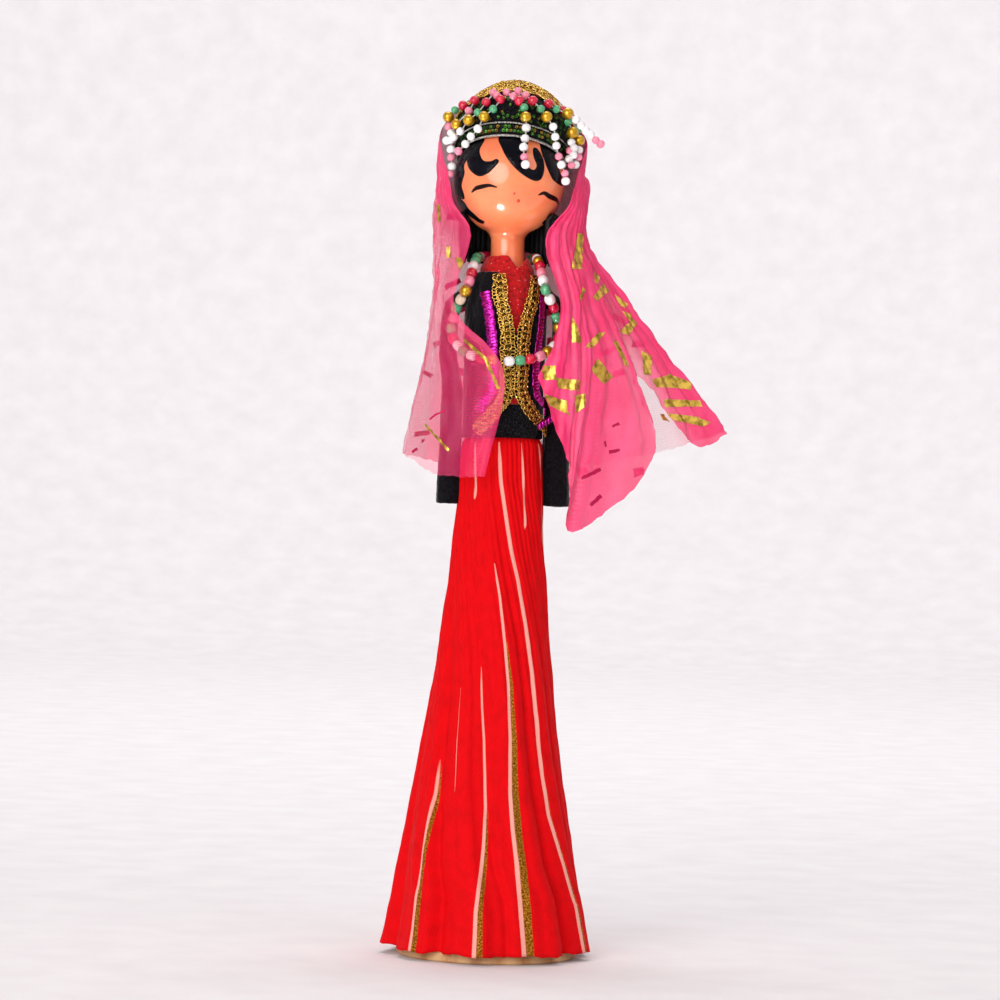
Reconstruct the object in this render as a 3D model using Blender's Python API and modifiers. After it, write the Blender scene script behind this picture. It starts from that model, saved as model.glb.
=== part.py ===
"""Folk doll: a turned wooden figure dressed in cloth, braid and beads.

Metres, +Z up. The origin is the centre of the foot's underside and the doll looks along -Y.
"""
import math

import bmesh
import bpy
from mathutils import Matrix, Vector

COLLECTION_NAME = "wooden_doll"

# Gap that touching pieces keep, and a looser one for cloth over cloth.
GAP = 0.0003
CLOTH_GAP = 0.0007

# Turned wooden figure.
FOOT_RADIUS = 0.031
WAIST_RADIUS = 0.0108
WAIST_Z = 0.1765
CHEST_RADIUS = 0.0114
CHEST_Z = 0.218
NECK_RADIUS = 0.0058
NECK_BASE_Z = 0.2345
NECK_FILLET = 0.004
HEAD_RADIUS = 0.019
HEAD_Z = 0.265
FOOT_EDGE = 0.0012
FLARE_POWER = 1.6
TURNED_SIDES = 18

# Skirt.
SKIRT_OFF_FOOT = 0.0035
SKIRT_OFF_WAIST = 0.0029
SKIRT_HEM_Z = 0.003
SKIRT_CLOTH = 0.0009
PLEATS = 10
PLEAT_DEPTH_HEM = 0.0019
PLEAT_DEPTH_WAIST = 0.0004
SKIRT_SWAY = 0.0017

# Upper clothes: cloth thickness of each layer over the wood.
BLOUSE_CLOTH = 0.0009
JACKET_CLOTH = 0.0012
WAISTBAND_HEIGHT = 0.0115
COLLAR_HEIGHT = 0.0042
COLLAR_FLARE = 0.0022
JACKET_HEM_FLARE = 0.0005
FRONT_X = 0.0037
NECK_V_HALF_WIDTH = 0.0066
NECK_V_BOTTOM_Z = 0.2115
HEM_V_TOP_Z = 0.191
HEM_V_HALF_WIDTH = 0.0125

# Sleeves: flat empty tubes that hang from the shoulders.
SLEEVE_HALF_WIDTH = 0.003
SLEEVE_HALF_DEPTH = 0.0052
SLEEVE_CUFF_FLARE = 0.0008
SLEEVE_BACK = 0.003
SLEEVE_END_Z = 0.154
SLEEVE_SIDES = 10

# Braids on the jacket's front edges.
GOLD_HALF_WIDTH = 0.0018
GOLD_SCALLOP = 0.00025
GOLD_THICKNESS = 0.0011
GOLD_LOOP_LENGTH = 0.0056
MAGENTA_HALF_WIDTH = 0.0012
MAGENTA_THICKNESS = 0.0008

# Cap, measured along its own axis from the rim.
CAP_TILT = math.radians(25)
CAP_ROLL = math.radians(4)
CAP_RIM_SHARE = 0.42
CAP_RIM_EASE = 0.0013
CAP_BULGE = 0.0021
CAP_HEIGHT = 0.0288
CAP_CLOTH = 0.0009
CROWN_BAND_HEIGHT = 0.021
CROWN_BAND_HALF_WIDTH = 0.0032
CROWN_BAND_THICKNESS = 0.0014
CROWN_BAND_LOOPS = 12
BRIM_CORD_RADIUS = 0.0007

# Beads.
STRANDS = 11
STRAND_SPREAD = math.radians(60)
SMALL_BEAD = 0.0029
ROW_BEAD = 0.0034
GOLD_BEAD = 0.0042
STRAND_BEADS = (ROW_BEAD, ROW_BEAD, GOLD_BEAD) + (SMALL_BEAD,) * 4
THREAD_SHARE = 0.4
NECKLACE_BEAD = 0.0038
NECKLACE_BEADS = 42
NECKLACE_DROP = 0.0322

# Hair that falls behind the neck.
HAIR_BOTTOM_Z = 0.2368
HAIR_THICKNESS = 0.0026
HAIR_HALF_ANGLE = math.radians(112)
HAIR_INNER = 0.0142

# Veil.
VEIL_CLOTH = 0.0005
VEIL_GAP = 0.0009
VEIL_FOLDS = 8
VEIL_FOLD_DEPTH = 0.0014
VEIL_COLUMNS = 34
VEIL_ROWS = 9

COLOURS = {
    "painted_wood": ((0.62, 0.23, 0.10), 0.25, 0.0),
    "black_felt": ((0.012, 0.012, 0.014), 0.9, 0.0),
    "red_cotton": ((0.65, 0.01, 0.01), 0.8, 0.0),
    "black_velvet": ((0.01, 0.01, 0.014), 0.95, 0.0),
    "gold_braid": ((0.55, 0.36, 0.08), 0.35, 1.0),
    "magenta_braid": ((0.55, 0.02, 0.30), 0.35, 0.4),
    "silver_cord": ((0.6, 0.6, 0.58), 0.3, 1.0),
    "glass_beads": ((0.85, 0.75, 0.72), 0.2, 0.0),
    "pink_organza": ((0.85, 0.14, 0.30), 0.5, 0.0),
}


def clear_scene():
    """Remove what a new file starts with."""
    for obj in list(bpy.data.objects):
        bpy.data.objects.remove(obj, do_unlink=True)


def collection(name):
    """Make a collection and link it to the scene."""
    made = bpy.data.collections.new(name)
    bpy.context.scene.collection.children.link(made)
    return made


def material(name, finish):
    """Plain Principled material for one node from a named finish."""
    colour, roughness, metallic = COLOURS[finish]
    made = bpy.data.materials.new(name)
    made.use_nodes = True
    shader = made.node_tree.nodes["Principled BSDF"]
    shader.inputs["Base Color"].default_value = (*colour, 1.0)
    shader.inputs["Roughness"].default_value = roughness
    shader.inputs["Metallic"].default_value = metallic
    made.diffuse_color = (*colour, 1.0)
    return made


def add_object(name, data, home, finish=None):
    """Link an object made from mesh or curve data, with its own material."""
    obj = bpy.data.objects.new(name, data)
    home.objects.link(obj)
    if finish:
        data.materials.append(material(name, finish))
    return obj


def mesh_from(bm, name):
    """Turn a bmesh into mesh data with smooth shading."""
    data = bpy.data.meshes.new(name)
    bm.to_mesh(data)
    bm.free()
    data.shade_smooth()
    data.set_sharp_from_angle(angle=math.radians(40))
    return data


def face_out(bm):
    """Turn a closed body's faces outwards."""
    bmesh.ops.recalc_face_normals(bm, faces=bm.faces)
    if bm.calc_volume(signed=True) < 0:
        bmesh.ops.reverse_faces(bm, faces=bm.faces)


def as_cutter(obj):
    """Show a cutter as wire and keep it out of the model."""
    obj.hide_render = True
    obj.display_type = "WIRE"
    return obj


def turned(name, profile, home, finish=None, sides=TURNED_SIDES, closed=False):
    """Turn a profile of (radius, z) points, which runs down its outer side, about Z."""
    bm = bmesh.new()
    verts = [bm.verts.new((radius, 0.0, z)) for radius, z in profile]
    ends = verts + verts[:1] if closed else verts
    for first, second in zip(ends, ends[1:]):
        bm.edges.new((first, second))
    data = bpy.data.meshes.new(name)
    bm.to_mesh(data)
    bm.free()
    obj = add_object(name, data, home, finish)
    screw = obj.modifiers.new("Screw", "SCREW")
    screw.steps = screw.render_steps = sides
    screw.use_merge_vertices = True
    screw.merge_threshold = 0.00001
    screw.use_smooth_shade = True
    return obj


def sheet(name, across, along, place, home, finish, thickness, offset=0.0, wrap=False):
    """Grid whose points go where place(u, v) says, made solid as thick cloth."""
    bm = bmesh.new()
    bmesh.ops.create_grid(bm, x_segments=across, y_segments=along, size=0.5)
    for vert in bm.verts:
        vert.co = place(vert.co.x + 0.5, vert.co.y + 0.5)
    if wrap:
        bmesh.ops.remove_doubles(bm, verts=bm.verts, dist=0.000001)
    obj = add_object(name, mesh_from(bm, name), home, finish)
    solid = obj.modifiers.new("Solidify", "SOLIDIFY")
    solid.thickness = thickness
    solid.offset = offset
    return obj


def capped_tube(name, around, along, place, home, finish=None):
    """Closed body whose rings go where place(u, v) says, with its two ends filled."""
    bm = bmesh.new()
    bmesh.ops.create_grid(bm, x_segments=around, y_segments=along, size=0.5)
    for vert in bm.verts:
        vert.co = place(vert.co.x + 0.5, vert.co.y + 0.5)
    bmesh.ops.remove_doubles(bm, verts=bm.verts, dist=0.000001)
    rims = [edge for edge in bm.edges if edge.is_boundary]
    bmesh.ops.holes_fill(bm, edges=rims, sides=0)
    face_out(bm)
    return add_object(name, mesh_from(bm, name), home, finish)


def modify(obj, operation, other):
    """Add an exact Boolean with another object."""
    cut = obj.modifiers.new(operation.title(), "BOOLEAN")
    cut.operation = operation
    cut.object = other
    cut.solver = "EXACT"


def blend_between(points, share):
    """Point at a share from 0 to 1 of a smooth curve through the given points."""
    last = len(points) - 1
    spot = min(max(share, 0.0), 1.0) * last
    index = min(int(spot), last - 1)
    t = spot - index
    p1, p2 = points[index], points[index + 1]
    p0 = points[index - 1] if index else p1 * 2 - p2
    p3 = points[index + 2] if index + 2 <= last else p2 * 2 - p1
    return 0.5 * (2 * p1 + (p2 - p0) * t + (2 * p0 - 5 * p1 + 4 * p2 - p3) * t ** 2
                  + (3 * p1 - p0 - 3 * p2 + p3) * t ** 3)


def even_points(points, fine=400):
    """Dense points on the smooth curve with the length run so far at each."""
    dense = [blend_between(points, i / fine) for i in range(fine + 1)]
    run = [0.0]
    for first, second in zip(dense, dense[1:]):
        run.append(run[-1] + (second - first).length)
    return dense, run


def at_length(dense, run, length):
    """Point of a dense curve at a length from its start."""
    for index in range(1, len(run)):
        if run[index] >= length:
            share = (length - run[index - 1]) / (run[index] - run[index - 1])
            return dense[index - 1].lerp(dense[index], share)
    return dense[-1]


def flare(z):
    """Share of the way from waist to foot at a height, eased like a bell."""
    return max(0.0, 1.0 - z / WAIST_Z) ** FLARE_POWER


def wood_trunk_profile():
    """Outer (radius, z) points of the shoulders, chest, waist and flared foot."""
    shoulder_drop = NECK_BASE_Z - CHEST_Z
    steps = 4
    points = []
    for i in range(steps + 1):
        angle = math.radians(90) * i / steps
        radius = NECK_RADIUS + (CHEST_RADIUS - NECK_RADIUS) * math.sin(angle)
        points.append((radius, CHEST_Z + shoulder_drop * math.cos(angle)))
    points.append((WAIST_RADIUS, WAIST_Z))
    flare_steps = 7
    for i in range(1, flare_steps + 1):
        z = WAIST_Z + (FOOT_EDGE - WAIST_Z) * i / flare_steps
        points.append((WAIST_RADIUS + (FOOT_RADIUS - WAIST_RADIUS) * flare(z), z))
    return points


def head_profile():
    """Outer (radius, z) points of the ball head and the fillet into the neck."""
    fillet_radius = NECK_RADIUS + NECK_FILLET
    reach = HEAD_RADIUS + NECK_FILLET
    fillet_drop = math.sqrt(reach ** 2 - fillet_radius ** 2)
    meet = math.atan2(fillet_radius, fillet_drop)
    ball_steps = 9
    points = []
    for i in range(ball_steps + 1):
        angle = (math.pi - meet) * i / ball_steps
        points.append((HEAD_RADIUS * math.sin(angle), HEAD_Z + HEAD_RADIUS * math.cos(angle)))
    fillet_steps = 3
    for i in range(1, fillet_steps + 1):
        angle = meet + (math.pi / 2 - meet) * i / fillet_steps
        points.append((fillet_radius - NECK_FILLET * math.sin(angle),
                       HEAD_Z - fillet_drop + NECK_FILLET * math.cos(angle)))
    return points


def ball_radius(z):
    """Radius of the ball head at a height."""
    return math.sqrt(max(0.0, HEAD_RADIUS ** 2 - (z - HEAD_Z) ** 2))


def layer_profile(out, top_z, bottom_z):
    """Trunk profile pushed out by a layer, between two heights."""
    points = [(radius + out, z) for radius, z in wood_trunk_profile() if bottom_z < z < top_z]
    return [(layer_radius(out, top_z), top_z)] + points + [(layer_radius(out, bottom_z), bottom_z)]


def layer_radius(out, z):
    """Radius of the trunk at a height, pushed out by a layer."""
    points = wood_trunk_profile()
    for (upper_r, upper_z), (lower_r, lower_z) in zip(points, points[1:]):
        if lower_z <= z <= upper_z:
            share = (upper_z - z) / (upper_z - lower_z)
            return upper_r + (lower_r - upper_r) * share + out
    return (points[0][0] if z > points[0][1] else points[-1][0]) + out


SKIRT_HEM_RADIUS = FOOT_RADIUS + SKIRT_OFF_FOOT
SKIRT_WAIST_RADIUS = WAIST_RADIUS + SKIRT_OFF_WAIST
BLOUSE_IN = GAP
BLOUSE_OUT = BLOUSE_IN + BLOUSE_CLOTH
JACKET_IN = BLOUSE_OUT + GAP
JACKET_OUT = JACKET_IN + JACKET_CLOTH
JACKET_TOP_Z = NECK_BASE_Z - 0.0012
JACKET_HEM_Z = WAIST_Z + GAP
WAISTBAND_TOP_Z = WAIST_Z + WAISTBAND_HEIGHT
BRAID_LIFT = 2 * GAP
CAP_RIM_UP = CAP_RIM_SHARE * HEAD_RADIUS
CAP_RIM_RADIUS = math.sqrt(HEAD_RADIUS ** 2 - CAP_RIM_UP ** 2) + CAP_RIM_EASE


def jacket_radius(z):
    """Outer radius of the jacket at a height, with its slight flare at the hem."""
    low = max(0.0, 1.0 - (z - JACKET_HEM_Z) / WAISTBAND_HEIGHT)
    return layer_radius(JACKET_OUT, max(z, JACKET_HEM_Z)) + JACKET_HEM_FLARE * min(1.0, low)


def make_figure(home):
    """Ball head, neck, trunk and flared foot, turned in one piece of wood."""
    base = [(FOOT_RADIUS - FOOT_EDGE / 2, 0.0), (0.0, 0.0)]
    turned("wooden_figure", head_profile() + wood_trunk_profile() + base, home, "painted_wood")


def skirt_point(u, v):
    """Point of the pleated skirt: u runs round it and v from hem to waist."""
    angle = 2 * math.pi * u
    z = SKIRT_HEM_Z + (WAIST_Z - GAP - SKIRT_HEM_Z) * v
    share = flare(z)
    radius = SKIRT_WAIST_RADIUS + (SKIRT_HEM_RADIUS - SKIRT_WAIST_RADIUS) * share
    depth = PLEAT_DEPTH_WAIST + (PLEAT_DEPTH_HEM - PLEAT_DEPTH_WAIST) * share
    radius += depth * math.cos(PLEATS * angle)
    sway = SKIRT_SWAY * math.sin(math.pi * v) ** 2 * max(0.0, 1.0 - v)
    return Vector((radius * math.sin(angle) - sway, -radius * math.cos(angle), z))


def make_skirt(home):
    """Long pleated skirt that hangs from the waist to just over the foot's edge."""
    sheet("skirt", PLEATS * 4, 7, skirt_point, home, "red_cotton", SKIRT_CLOTH, wrap=True)


def shell_profile(inner, outer, top_z, bottom_z):
    """Closed profile of a garment shell round the trunk."""
    outside = layer_profile(outer, top_z, bottom_z)
    inside = layer_profile(inner, top_z, bottom_z)
    return outside + inside[::-1]


def wedge(name, tip_z, base_z, half_width, home):
    """Triangular cutter through the front: its tip and its base lie at the two heights."""
    bm = bmesh.new()
    bmesh.ops.create_cone(bm, cap_ends=True, segments=3, radius1=1.0, radius2=1.0, depth=1.0)
    for vert in bm.verts:
        tip = vert.co.y > 0.9
        side = 0.0 if tip else math.copysign(half_width, vert.co.x)
        reach = 0.0 if vert.co.z > 0 else -3 * CHEST_RADIUS
        vert.co = (FRONT_X + side, reach, tip_z if tip else base_z)
    face_out(bm)
    return as_cutter(add_object(name, mesh_from(bm, name), home))


def make_blouse(home, cutters):
    """Blouse round the chest, with a small collar cut open in a V below the chin."""
    top = NECK_BASE_Z + GAP
    flat_collar = NECK_RADIUS + GAP
    collar = [
        (flat_collar + BLOUSE_CLOTH, top + COLLAR_HEIGHT),
        (flat_collar + COLLAR_FLARE + BLOUSE_CLOTH, top),
    ]
    outside = layer_profile(BLOUSE_OUT, NECK_BASE_Z - 0.0015, WAISTBAND_TOP_Z + GAP)
    inside = layer_profile(BLOUSE_IN, NECK_BASE_Z, WAISTBAND_TOP_Z + GAP)
    profile = collar + outside + inside[::-1] + [(flat_collar, top + COLLAR_HEIGHT)]
    blouse = turned("blouse", profile, home, "red_cotton", closed=True)
    notch = wedge("collar_notch", NECK_BASE_Z, NECK_BASE_Z + 2 * COLLAR_HEIGHT,
                  NECK_V_HALF_WIDTH, cutters)
    modify(blouse, "DIFFERENCE", notch)


def make_waistband(home):
    """Fuzzy band round the waist, above the skirt."""
    profile = shell_profile(GAP, BLOUSE_OUT, WAISTBAND_TOP_Z, WAIST_Z + GAP)
    turned("waistband", profile, home, "black_felt", closed=True)


def sleeve_path(side):
    """Centre points of one sleeve, from inside the shoulder to the cuff."""
    hang_x = SKIRT_WAIST_RADIUS + PLEAT_DEPTH_WAIST + 3 * CLOTH_GAP + SLEEVE_HALF_WIDTH
    shoulder_z = CHEST_Z + 0.009
    elbow_z = (CHEST_Z + SLEEVE_END_Z) / 2
    return [
        Vector((side * (CHEST_RADIUS - SLEEVE_HALF_WIDTH), 0.0, shoulder_z)),
        Vector((side * (hang_x - 0.0015), SLEEVE_BACK / 3, shoulder_z - 0.004)),
        Vector((side * hang_x, SLEEVE_BACK, CHEST_Z - 0.006)),
        Vector((side * (hang_x + 0.0003), SLEEVE_BACK, elbow_z)),
        Vector((side * (hang_x + 0.0002), SLEEVE_BACK, SLEEVE_END_Z)),
    ]


def sleeve(name, side, home):
    """One sleeve as a closed body, wider at the cuff."""
    points = sleeve_path(side)

    def place(u, v):
        centre = blend_between(points, v)
        ahead = blend_between(points, min(1.0, v + 0.02)) - blend_between(points, max(0.0, v - 0.02))
        across = Vector((0.0, 1.0, 0.0)).cross(ahead).normalized()
        angle = 2 * math.pi * u
        wide = SLEEVE_HALF_WIDTH + SLEEVE_CUFF_FLARE * max(0.0, v - 0.8) * 5
        return (centre + across * (wide * math.cos(angle))
                + Vector((0.0, SLEEVE_HALF_DEPTH * math.sin(angle), 0.0)))

    return capped_tube(name, SLEEVE_SIDES, 7, place, home)


def make_jacket(home, cutters):
    """Jacket with its sleeves sewn on, open in a V at the neck and at the hem."""
    heights = [z for _, z in layer_profile(JACKET_OUT, JACKET_TOP_Z, JACKET_HEM_Z)]
    heights.insert(-1, JACKET_HEM_Z + WAISTBAND_HEIGHT)
    outside = [(jacket_radius(z), z) for z in heights]
    inside = layer_profile(JACKET_IN, JACKET_TOP_Z, JACKET_HEM_Z)
    jacket = turned("jacket", outside + inside[::-1], home, "black_velvet", closed=True)
    for name, side in (("sleeve_left", -1), ("sleeve_right", 1)):
        modify(jacket, "UNION", as_cutter(sleeve(name, side, cutters)))
    core_profile = [(0.0, NECK_BASE_Z)] + layer_profile(JACKET_IN, NECK_BASE_Z - 0.0004, JACKET_HEM_Z)
    core = turned("trunk_clearance", core_profile + [(0.0, JACKET_HEM_Z)], cutters)
    modify(jacket, "DIFFERENCE", as_cutter(core))
    modify(jacket, "DIFFERENCE", wedge("neck_opening", NECK_V_BOTTOM_Z, NECK_BASE_Z + CHEST_RADIUS,
                                       NECK_V_HALF_WIDTH * 1.5, cutters))
    modify(jacket, "DIFFERENCE", wedge("hem_opening", HEM_V_TOP_Z, JACKET_HEM_Z - CHEST_RADIUS / 4,
                                       HEM_V_HALF_WIDTH * 1.15, cutters))


def on_jacket(x, z, lift):
    """Point on the jacket's front at a sideways place and height."""
    radius = jacket_radius(z) + lift
    x = max(-0.995 * radius, min(0.995 * radius, x))
    return Vector((x, -math.sqrt(radius ** 2 - x ** 2), z))


def braid(name, route, half_width, thickness, scallop, home, finish):
    """Flat braid laid on the jacket's front along a route of (x, z) points, with looped edges."""
    points = [Vector((x, 0.0, z)) for x, z in route]
    dense, run = even_points(points)
    lift = BRAID_LIFT + thickness / 2
    loops = max(4, round(run[-1] / GOLD_LOOP_LENGTH))

    def place(u, v):
        length = run[-1] * u
        centre = at_length(dense, run, length)
        ahead = at_length(dense, run, length + 0.001) - at_length(dense, run, max(0.0, length - 0.001))
        radius = jacket_radius(centre.z) + lift
        turn = math.asin(max(-0.99, min(0.99, centre.x / radius)))
        run_across = Vector((ahead.x / max(0.2, math.cos(turn)), 0.0, ahead.z)).normalized()
        wide = (half_width + scallop * math.cos(2 * math.pi * loops * u)) * (2 * v - 1)
        turn += run_across.z * wide / radius
        z = centre.z - run_across.x * wide
        radius = jacket_radius(z) + lift
        return Vector((radius * math.sin(turn), -radius * math.cos(turn), z))

    sheet(name, loops * 2 if scallop else loops, 2, place, home, finish, thickness)


def make_braids(home):
    """Looped gold braid on both front edges, with magenta braid beside it."""
    meet_z = (NECK_V_BOTTOM_Z + HEM_V_TOP_Z) / 2
    pair = GOLD_HALF_WIDTH + GOLD_SCALLOP + 2 * GAP
    top_z = JACKET_TOP_Z - 0.001
    for name, side in (("gold_braid_left", -1), ("gold_braid_right", 1)):
        route = [
            (FRONT_X + side * NECK_V_HALF_WIDTH * 0.95, top_z),
            (FRONT_X + side * NECK_V_HALF_WIDTH * 0.85, top_z - 0.008),
            (FRONT_X + side * pair * 1.15, NECK_V_BOTTOM_Z + 0.002),
            (FRONT_X + side * pair, meet_z),
            (FRONT_X + side * pair, HEM_V_TOP_Z + 0.001),
            (FRONT_X + side * HEM_V_HALF_WIDTH * 0.62, HEM_V_TOP_Z - 0.007),
            (FRONT_X + side * HEM_V_HALF_WIDTH * 1.02, JACKET_HEM_Z + 0.002),
        ]
        braid(name, route, GOLD_HALF_WIDTH, GOLD_THICKNESS, GOLD_SCALLOP, home, "gold_braid")
    beside = 2 * GOLD_HALF_WIDTH + MAGENTA_HALF_WIDTH + 4 * GAP
    collarbone = NECK_V_HALF_WIDTH * 0.85 + beside
    for name, side, start in (("magenta_braid_left", -1, 0.95), ("magenta_braid_right", 1, 0.78)):
        route = [
            (FRONT_X + side * collarbone * start, top_z - 0.006),
            (FRONT_X + side * (pair + beside), NECK_V_BOTTOM_Z + 0.003),
            (FRONT_X + side * (pair + beside * 0.8), meet_z),
            (FRONT_X + side * (pair + beside * 0.9), HEM_V_TOP_Z + 0.001),
            (FRONT_X + side * (pair + beside * 1.35), HEM_V_TOP_Z - 0.0025),
            (FRONT_X + side * (HEM_V_HALF_WIDTH * 0.95), JACKET_HEM_Z + 0.0085),
        ]
        braid(name, route, MAGENTA_HALF_WIDTH, MAGENTA_THICKNESS, 0.0, home, "magenta_braid")


def cap_frame():
    """Place of the cap's rim centre and axes: tilted back and rolled aside."""
    turn = Matrix.Rotation(CAP_ROLL, 4, "Y") @ Matrix.Rotation(-CAP_TILT, 4, "X")
    axis = turn @ Vector((0.0, 0.0, 1.0))
    return Matrix.Translation(Vector((0.0, 0.0, HEAD_Z)) + axis * CAP_RIM_UP) @ turn


def cap_radius(height):
    """Outer radius of the cap at a height above its rim."""
    share = min(1.0, max(0.0, height / CAP_HEIGHT))
    swell = CAP_RIM_RADIUS + CAP_BULGE * math.sin(math.pi * min(1.0, share * 1.7))
    return swell * math.sqrt(max(0.0, 1.0 - max(0.0, share - 0.3) ** 2 / 0.49))


def cap_surface(turn, height, lift=0.0):
    """World point over the cap at an angle from its front and a height above its rim."""
    step = 0.0005
    slope = cap_radius(height + step) - cap_radius(height - step)
    out = Vector((2 * step, -slope)).normalized()
    radius = cap_radius(height) + lift * out.x
    return cap_frame() @ Vector((radius * math.sin(turn), -radius * math.cos(turn),
                                 height + lift * out.y))


def make_cap(home):
    """Round puffed cap on the back of the head, open below."""
    steps = 7
    shares = [math.sin(math.pi / 2 * i / steps) for i in range(steps + 1)]
    outside = [(cap_radius(CAP_HEIGHT * share), CAP_HEIGHT * share) for share in reversed(shares)]
    outside[0] = (0.0, CAP_HEIGHT)
    inner = [(max(0.0, radius - CAP_CLOTH), z * (1 - CAP_CLOTH / CAP_HEIGHT)) for radius, z in outside]
    cap = turned("cap", outside + inner[::-1], home, "black_velvet")
    cap.matrix_world = cap_frame()


def make_crown_braid(home):
    """Looped gold braid round the crown of the cap."""
    lift = GAP + CROWN_BAND_THICKNESS / 2

    def place(u, v):
        angle = 2 * math.pi * u
        wide = CROWN_BAND_HALF_WIDTH * (1 + 0.15 * math.cos(CROWN_BAND_LOOPS * angle))
        return cap_surface(angle, CROWN_BAND_HEIGHT + wide * (1.5 * v - 1.0), lift)

    sheet("crown_braid", CROWN_BAND_LOOPS * 2, 2, place, home, "gold_braid",
          CROWN_BAND_THICKNESS, wrap=True)


def tube(name, points, radii, home, finish, sides_level, cyclic=False):
    """Curve object with a bevel, and a radius of its own at each point."""
    data = bpy.data.curves.new(name, "CURVE")
    data.dimensions = "3D"
    data.bevel_depth = max(radii)
    data.bevel_resolution = sides_level
    data.use_fill_caps = not cyclic
    spline = data.splines.new("POLY")
    spline.points.add(len(points) - 1)
    spline.use_cyclic_u = cyclic
    for spot, point, radius in zip(spline.points, points, radii):
        spot.co = (*point, 1.0)
        spot.radius = radius / data.bevel_depth
    return add_object(name, data, home, finish)


def make_brim_cord(home):
    """Thin metal cord sewn under the cap's rim."""
    sides = 20
    drop = -GAP - BRIM_CORD_RADIUS
    ball = math.sqrt(HEAD_RADIUS ** 2 - (CAP_RIM_UP + drop) ** 2)
    radius = max(CAP_RIM_RADIUS - CAP_CLOTH / 2, ball + BRIM_CORD_RADIUS + GAP)
    points = []
    for i in range(sides):
        angle = 2 * math.pi * i / sides
        points.append(cap_frame() @ Vector((radius * math.sin(angle), -radius * math.cos(angle), drop)))
    tube("brim_cord", points, [BRIM_CORD_RADIUS] * sides, home, "silver_cord", 0, cyclic=True)


def strand_route(turn):
    """Points a strand follows: over the cap's front, then down past the brow."""
    thick = GOLD_BEAD / 2 + BRIM_CORD_RADIUS + GAP
    start = CROWN_BAND_HEIGHT - CROWN_BAND_HALF_WIDTH * 1.15 - ROW_BEAD
    points = [cap_surface(turn, start * share, thick) for share in (1.0, 0.6, 0.25)]
    low = points[-1]
    out = Vector((low.x, low.y, 0.0)).normalized()
    hang = sum(STRAND_BEADS) - (points[0] - points[1]).length - (points[1] - low).length
    for step in (1, 2, 3, 4):
        z = low.z - hang * step / 3.5
        reach = max(ball_radius(z) + SMALL_BEAD / 2 + CLOTH_GAP, Vector((low.x, low.y)).length)
        points.append(Vector((out.x * reach, out.y * reach, z)))
    return points


def bead_radii(beads):
    """Lengths along a string and radii there: thread, belly, thread for each bead."""
    lengths, radii = [0.0], [beads[0] * THREAD_SHARE / 2]
    for diameter in beads:
        lengths += [lengths[-1] + diameter / 2, lengths[-1] + diameter]
        radii += [diameter / 2, diameter * THREAD_SHARE / 2]
    return lengths, radii


def make_strands(home):
    """Bead strands that hang from the cap's front: row beads, a gold one, small ones."""
    lengths, radii = bead_radii(STRAND_BEADS)
    for index in range(STRANDS):
        turn = STRAND_SPREAD * (2 * index / (STRANDS - 1) - 1)
        dense, run = even_points(strand_route(turn))
        points = [at_length(dense, run, length) for length in lengths]
        tube(f"bead_strand_{index + 1:02d}", points, radii, home, "glass_beads", 1)


def necklace_route():
    """Loop of the necklace: down both sides of the chest and round behind the neck."""
    drop = NECKLACE_BEAD / 2 + GAP
    out = JACKET_OUT + BRAID_LIFT + GOLD_THICKNESS + CLOTH_GAP + drop
    front = CHEST_RADIUS + out
    chest = NECK_BASE_Z
    shapes = [(0.60, -0.08), (0.74, 0.22), (0.94, 0.45), (1.0, 0.73), (0.66, 0.93), (0.0, 1.0)]
    back = [(0.40, -0.15), (0.0, -0.175)]
    points = []
    for share, fall in shapes:
        x = share * (front * 0.96)
        depth = front * math.sqrt(max(0.04, 1.0 - (x / (front * 1.06)) ** 2))
        shoulder = min(1.0, max(0.0, 3.2 * fall + 0.55))
        points.append((x, -depth * shoulder, chest - NECKLACE_DROP * fall))
    ring = NECK_RADIUS + COLLAR_FLARE + BLOUSE_CLOTH + drop + CLOTH_GAP
    behind = [(ring * share / 0.55, ring * math.sqrt(1 - (share / 0.55) ** 2),
               chest - NECKLACE_DROP * fall) for share, fall in back]
    right = [Vector(p) for p in points]
    left = [Vector((-x, y, z)) for x, y, z in points]
    back_right = [Vector(p) for p in behind]
    back_left = [Vector((-x, y, z)) for x, y, z in behind]
    return [right[-1]] + right[-2::-1] + back_right + back_left[-2::-1] + left[:-1] + [right[-1]]


def make_necklace(home):
    """Necklace of round beads, fused where they touch on the thread."""
    dense, run = even_points(necklace_route())
    pitch = run[-1] / NECKLACE_BEADS
    points, radii = [], []
    for index in range(NECKLACE_BEADS):
        for share, size in ((0.0, THREAD_SHARE), (0.5, 1.0)):
            points.append(at_length(dense, run, pitch * (index + share)))
            radii.append(NECKLACE_BEAD / 2 * size)
    tube("bead_necklace", points, radii, home, "glass_beads", 1, cyclic=True)


def make_hair(home):
    """Curtain of black hair round the back of the neck, under the head."""
    top_z = HEAD_Z - HEAD_RADIUS * 0.62

    def place(u, v):
        angle = HAIR_HALF_ANGLE * (2 * u - 1)
        z = HAIR_BOTTOM_Z + (top_z - HAIR_BOTTOM_Z) * v
        radius = max(HAIR_INNER, ball_radius(z) + CLOTH_GAP)
        return Vector((radius * math.sin(angle), radius * math.cos(angle), z))

    sheet("back_hair", 12, 3, place, home, "black_felt", HAIR_THICKNESS, offset=-1.0)


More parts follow.
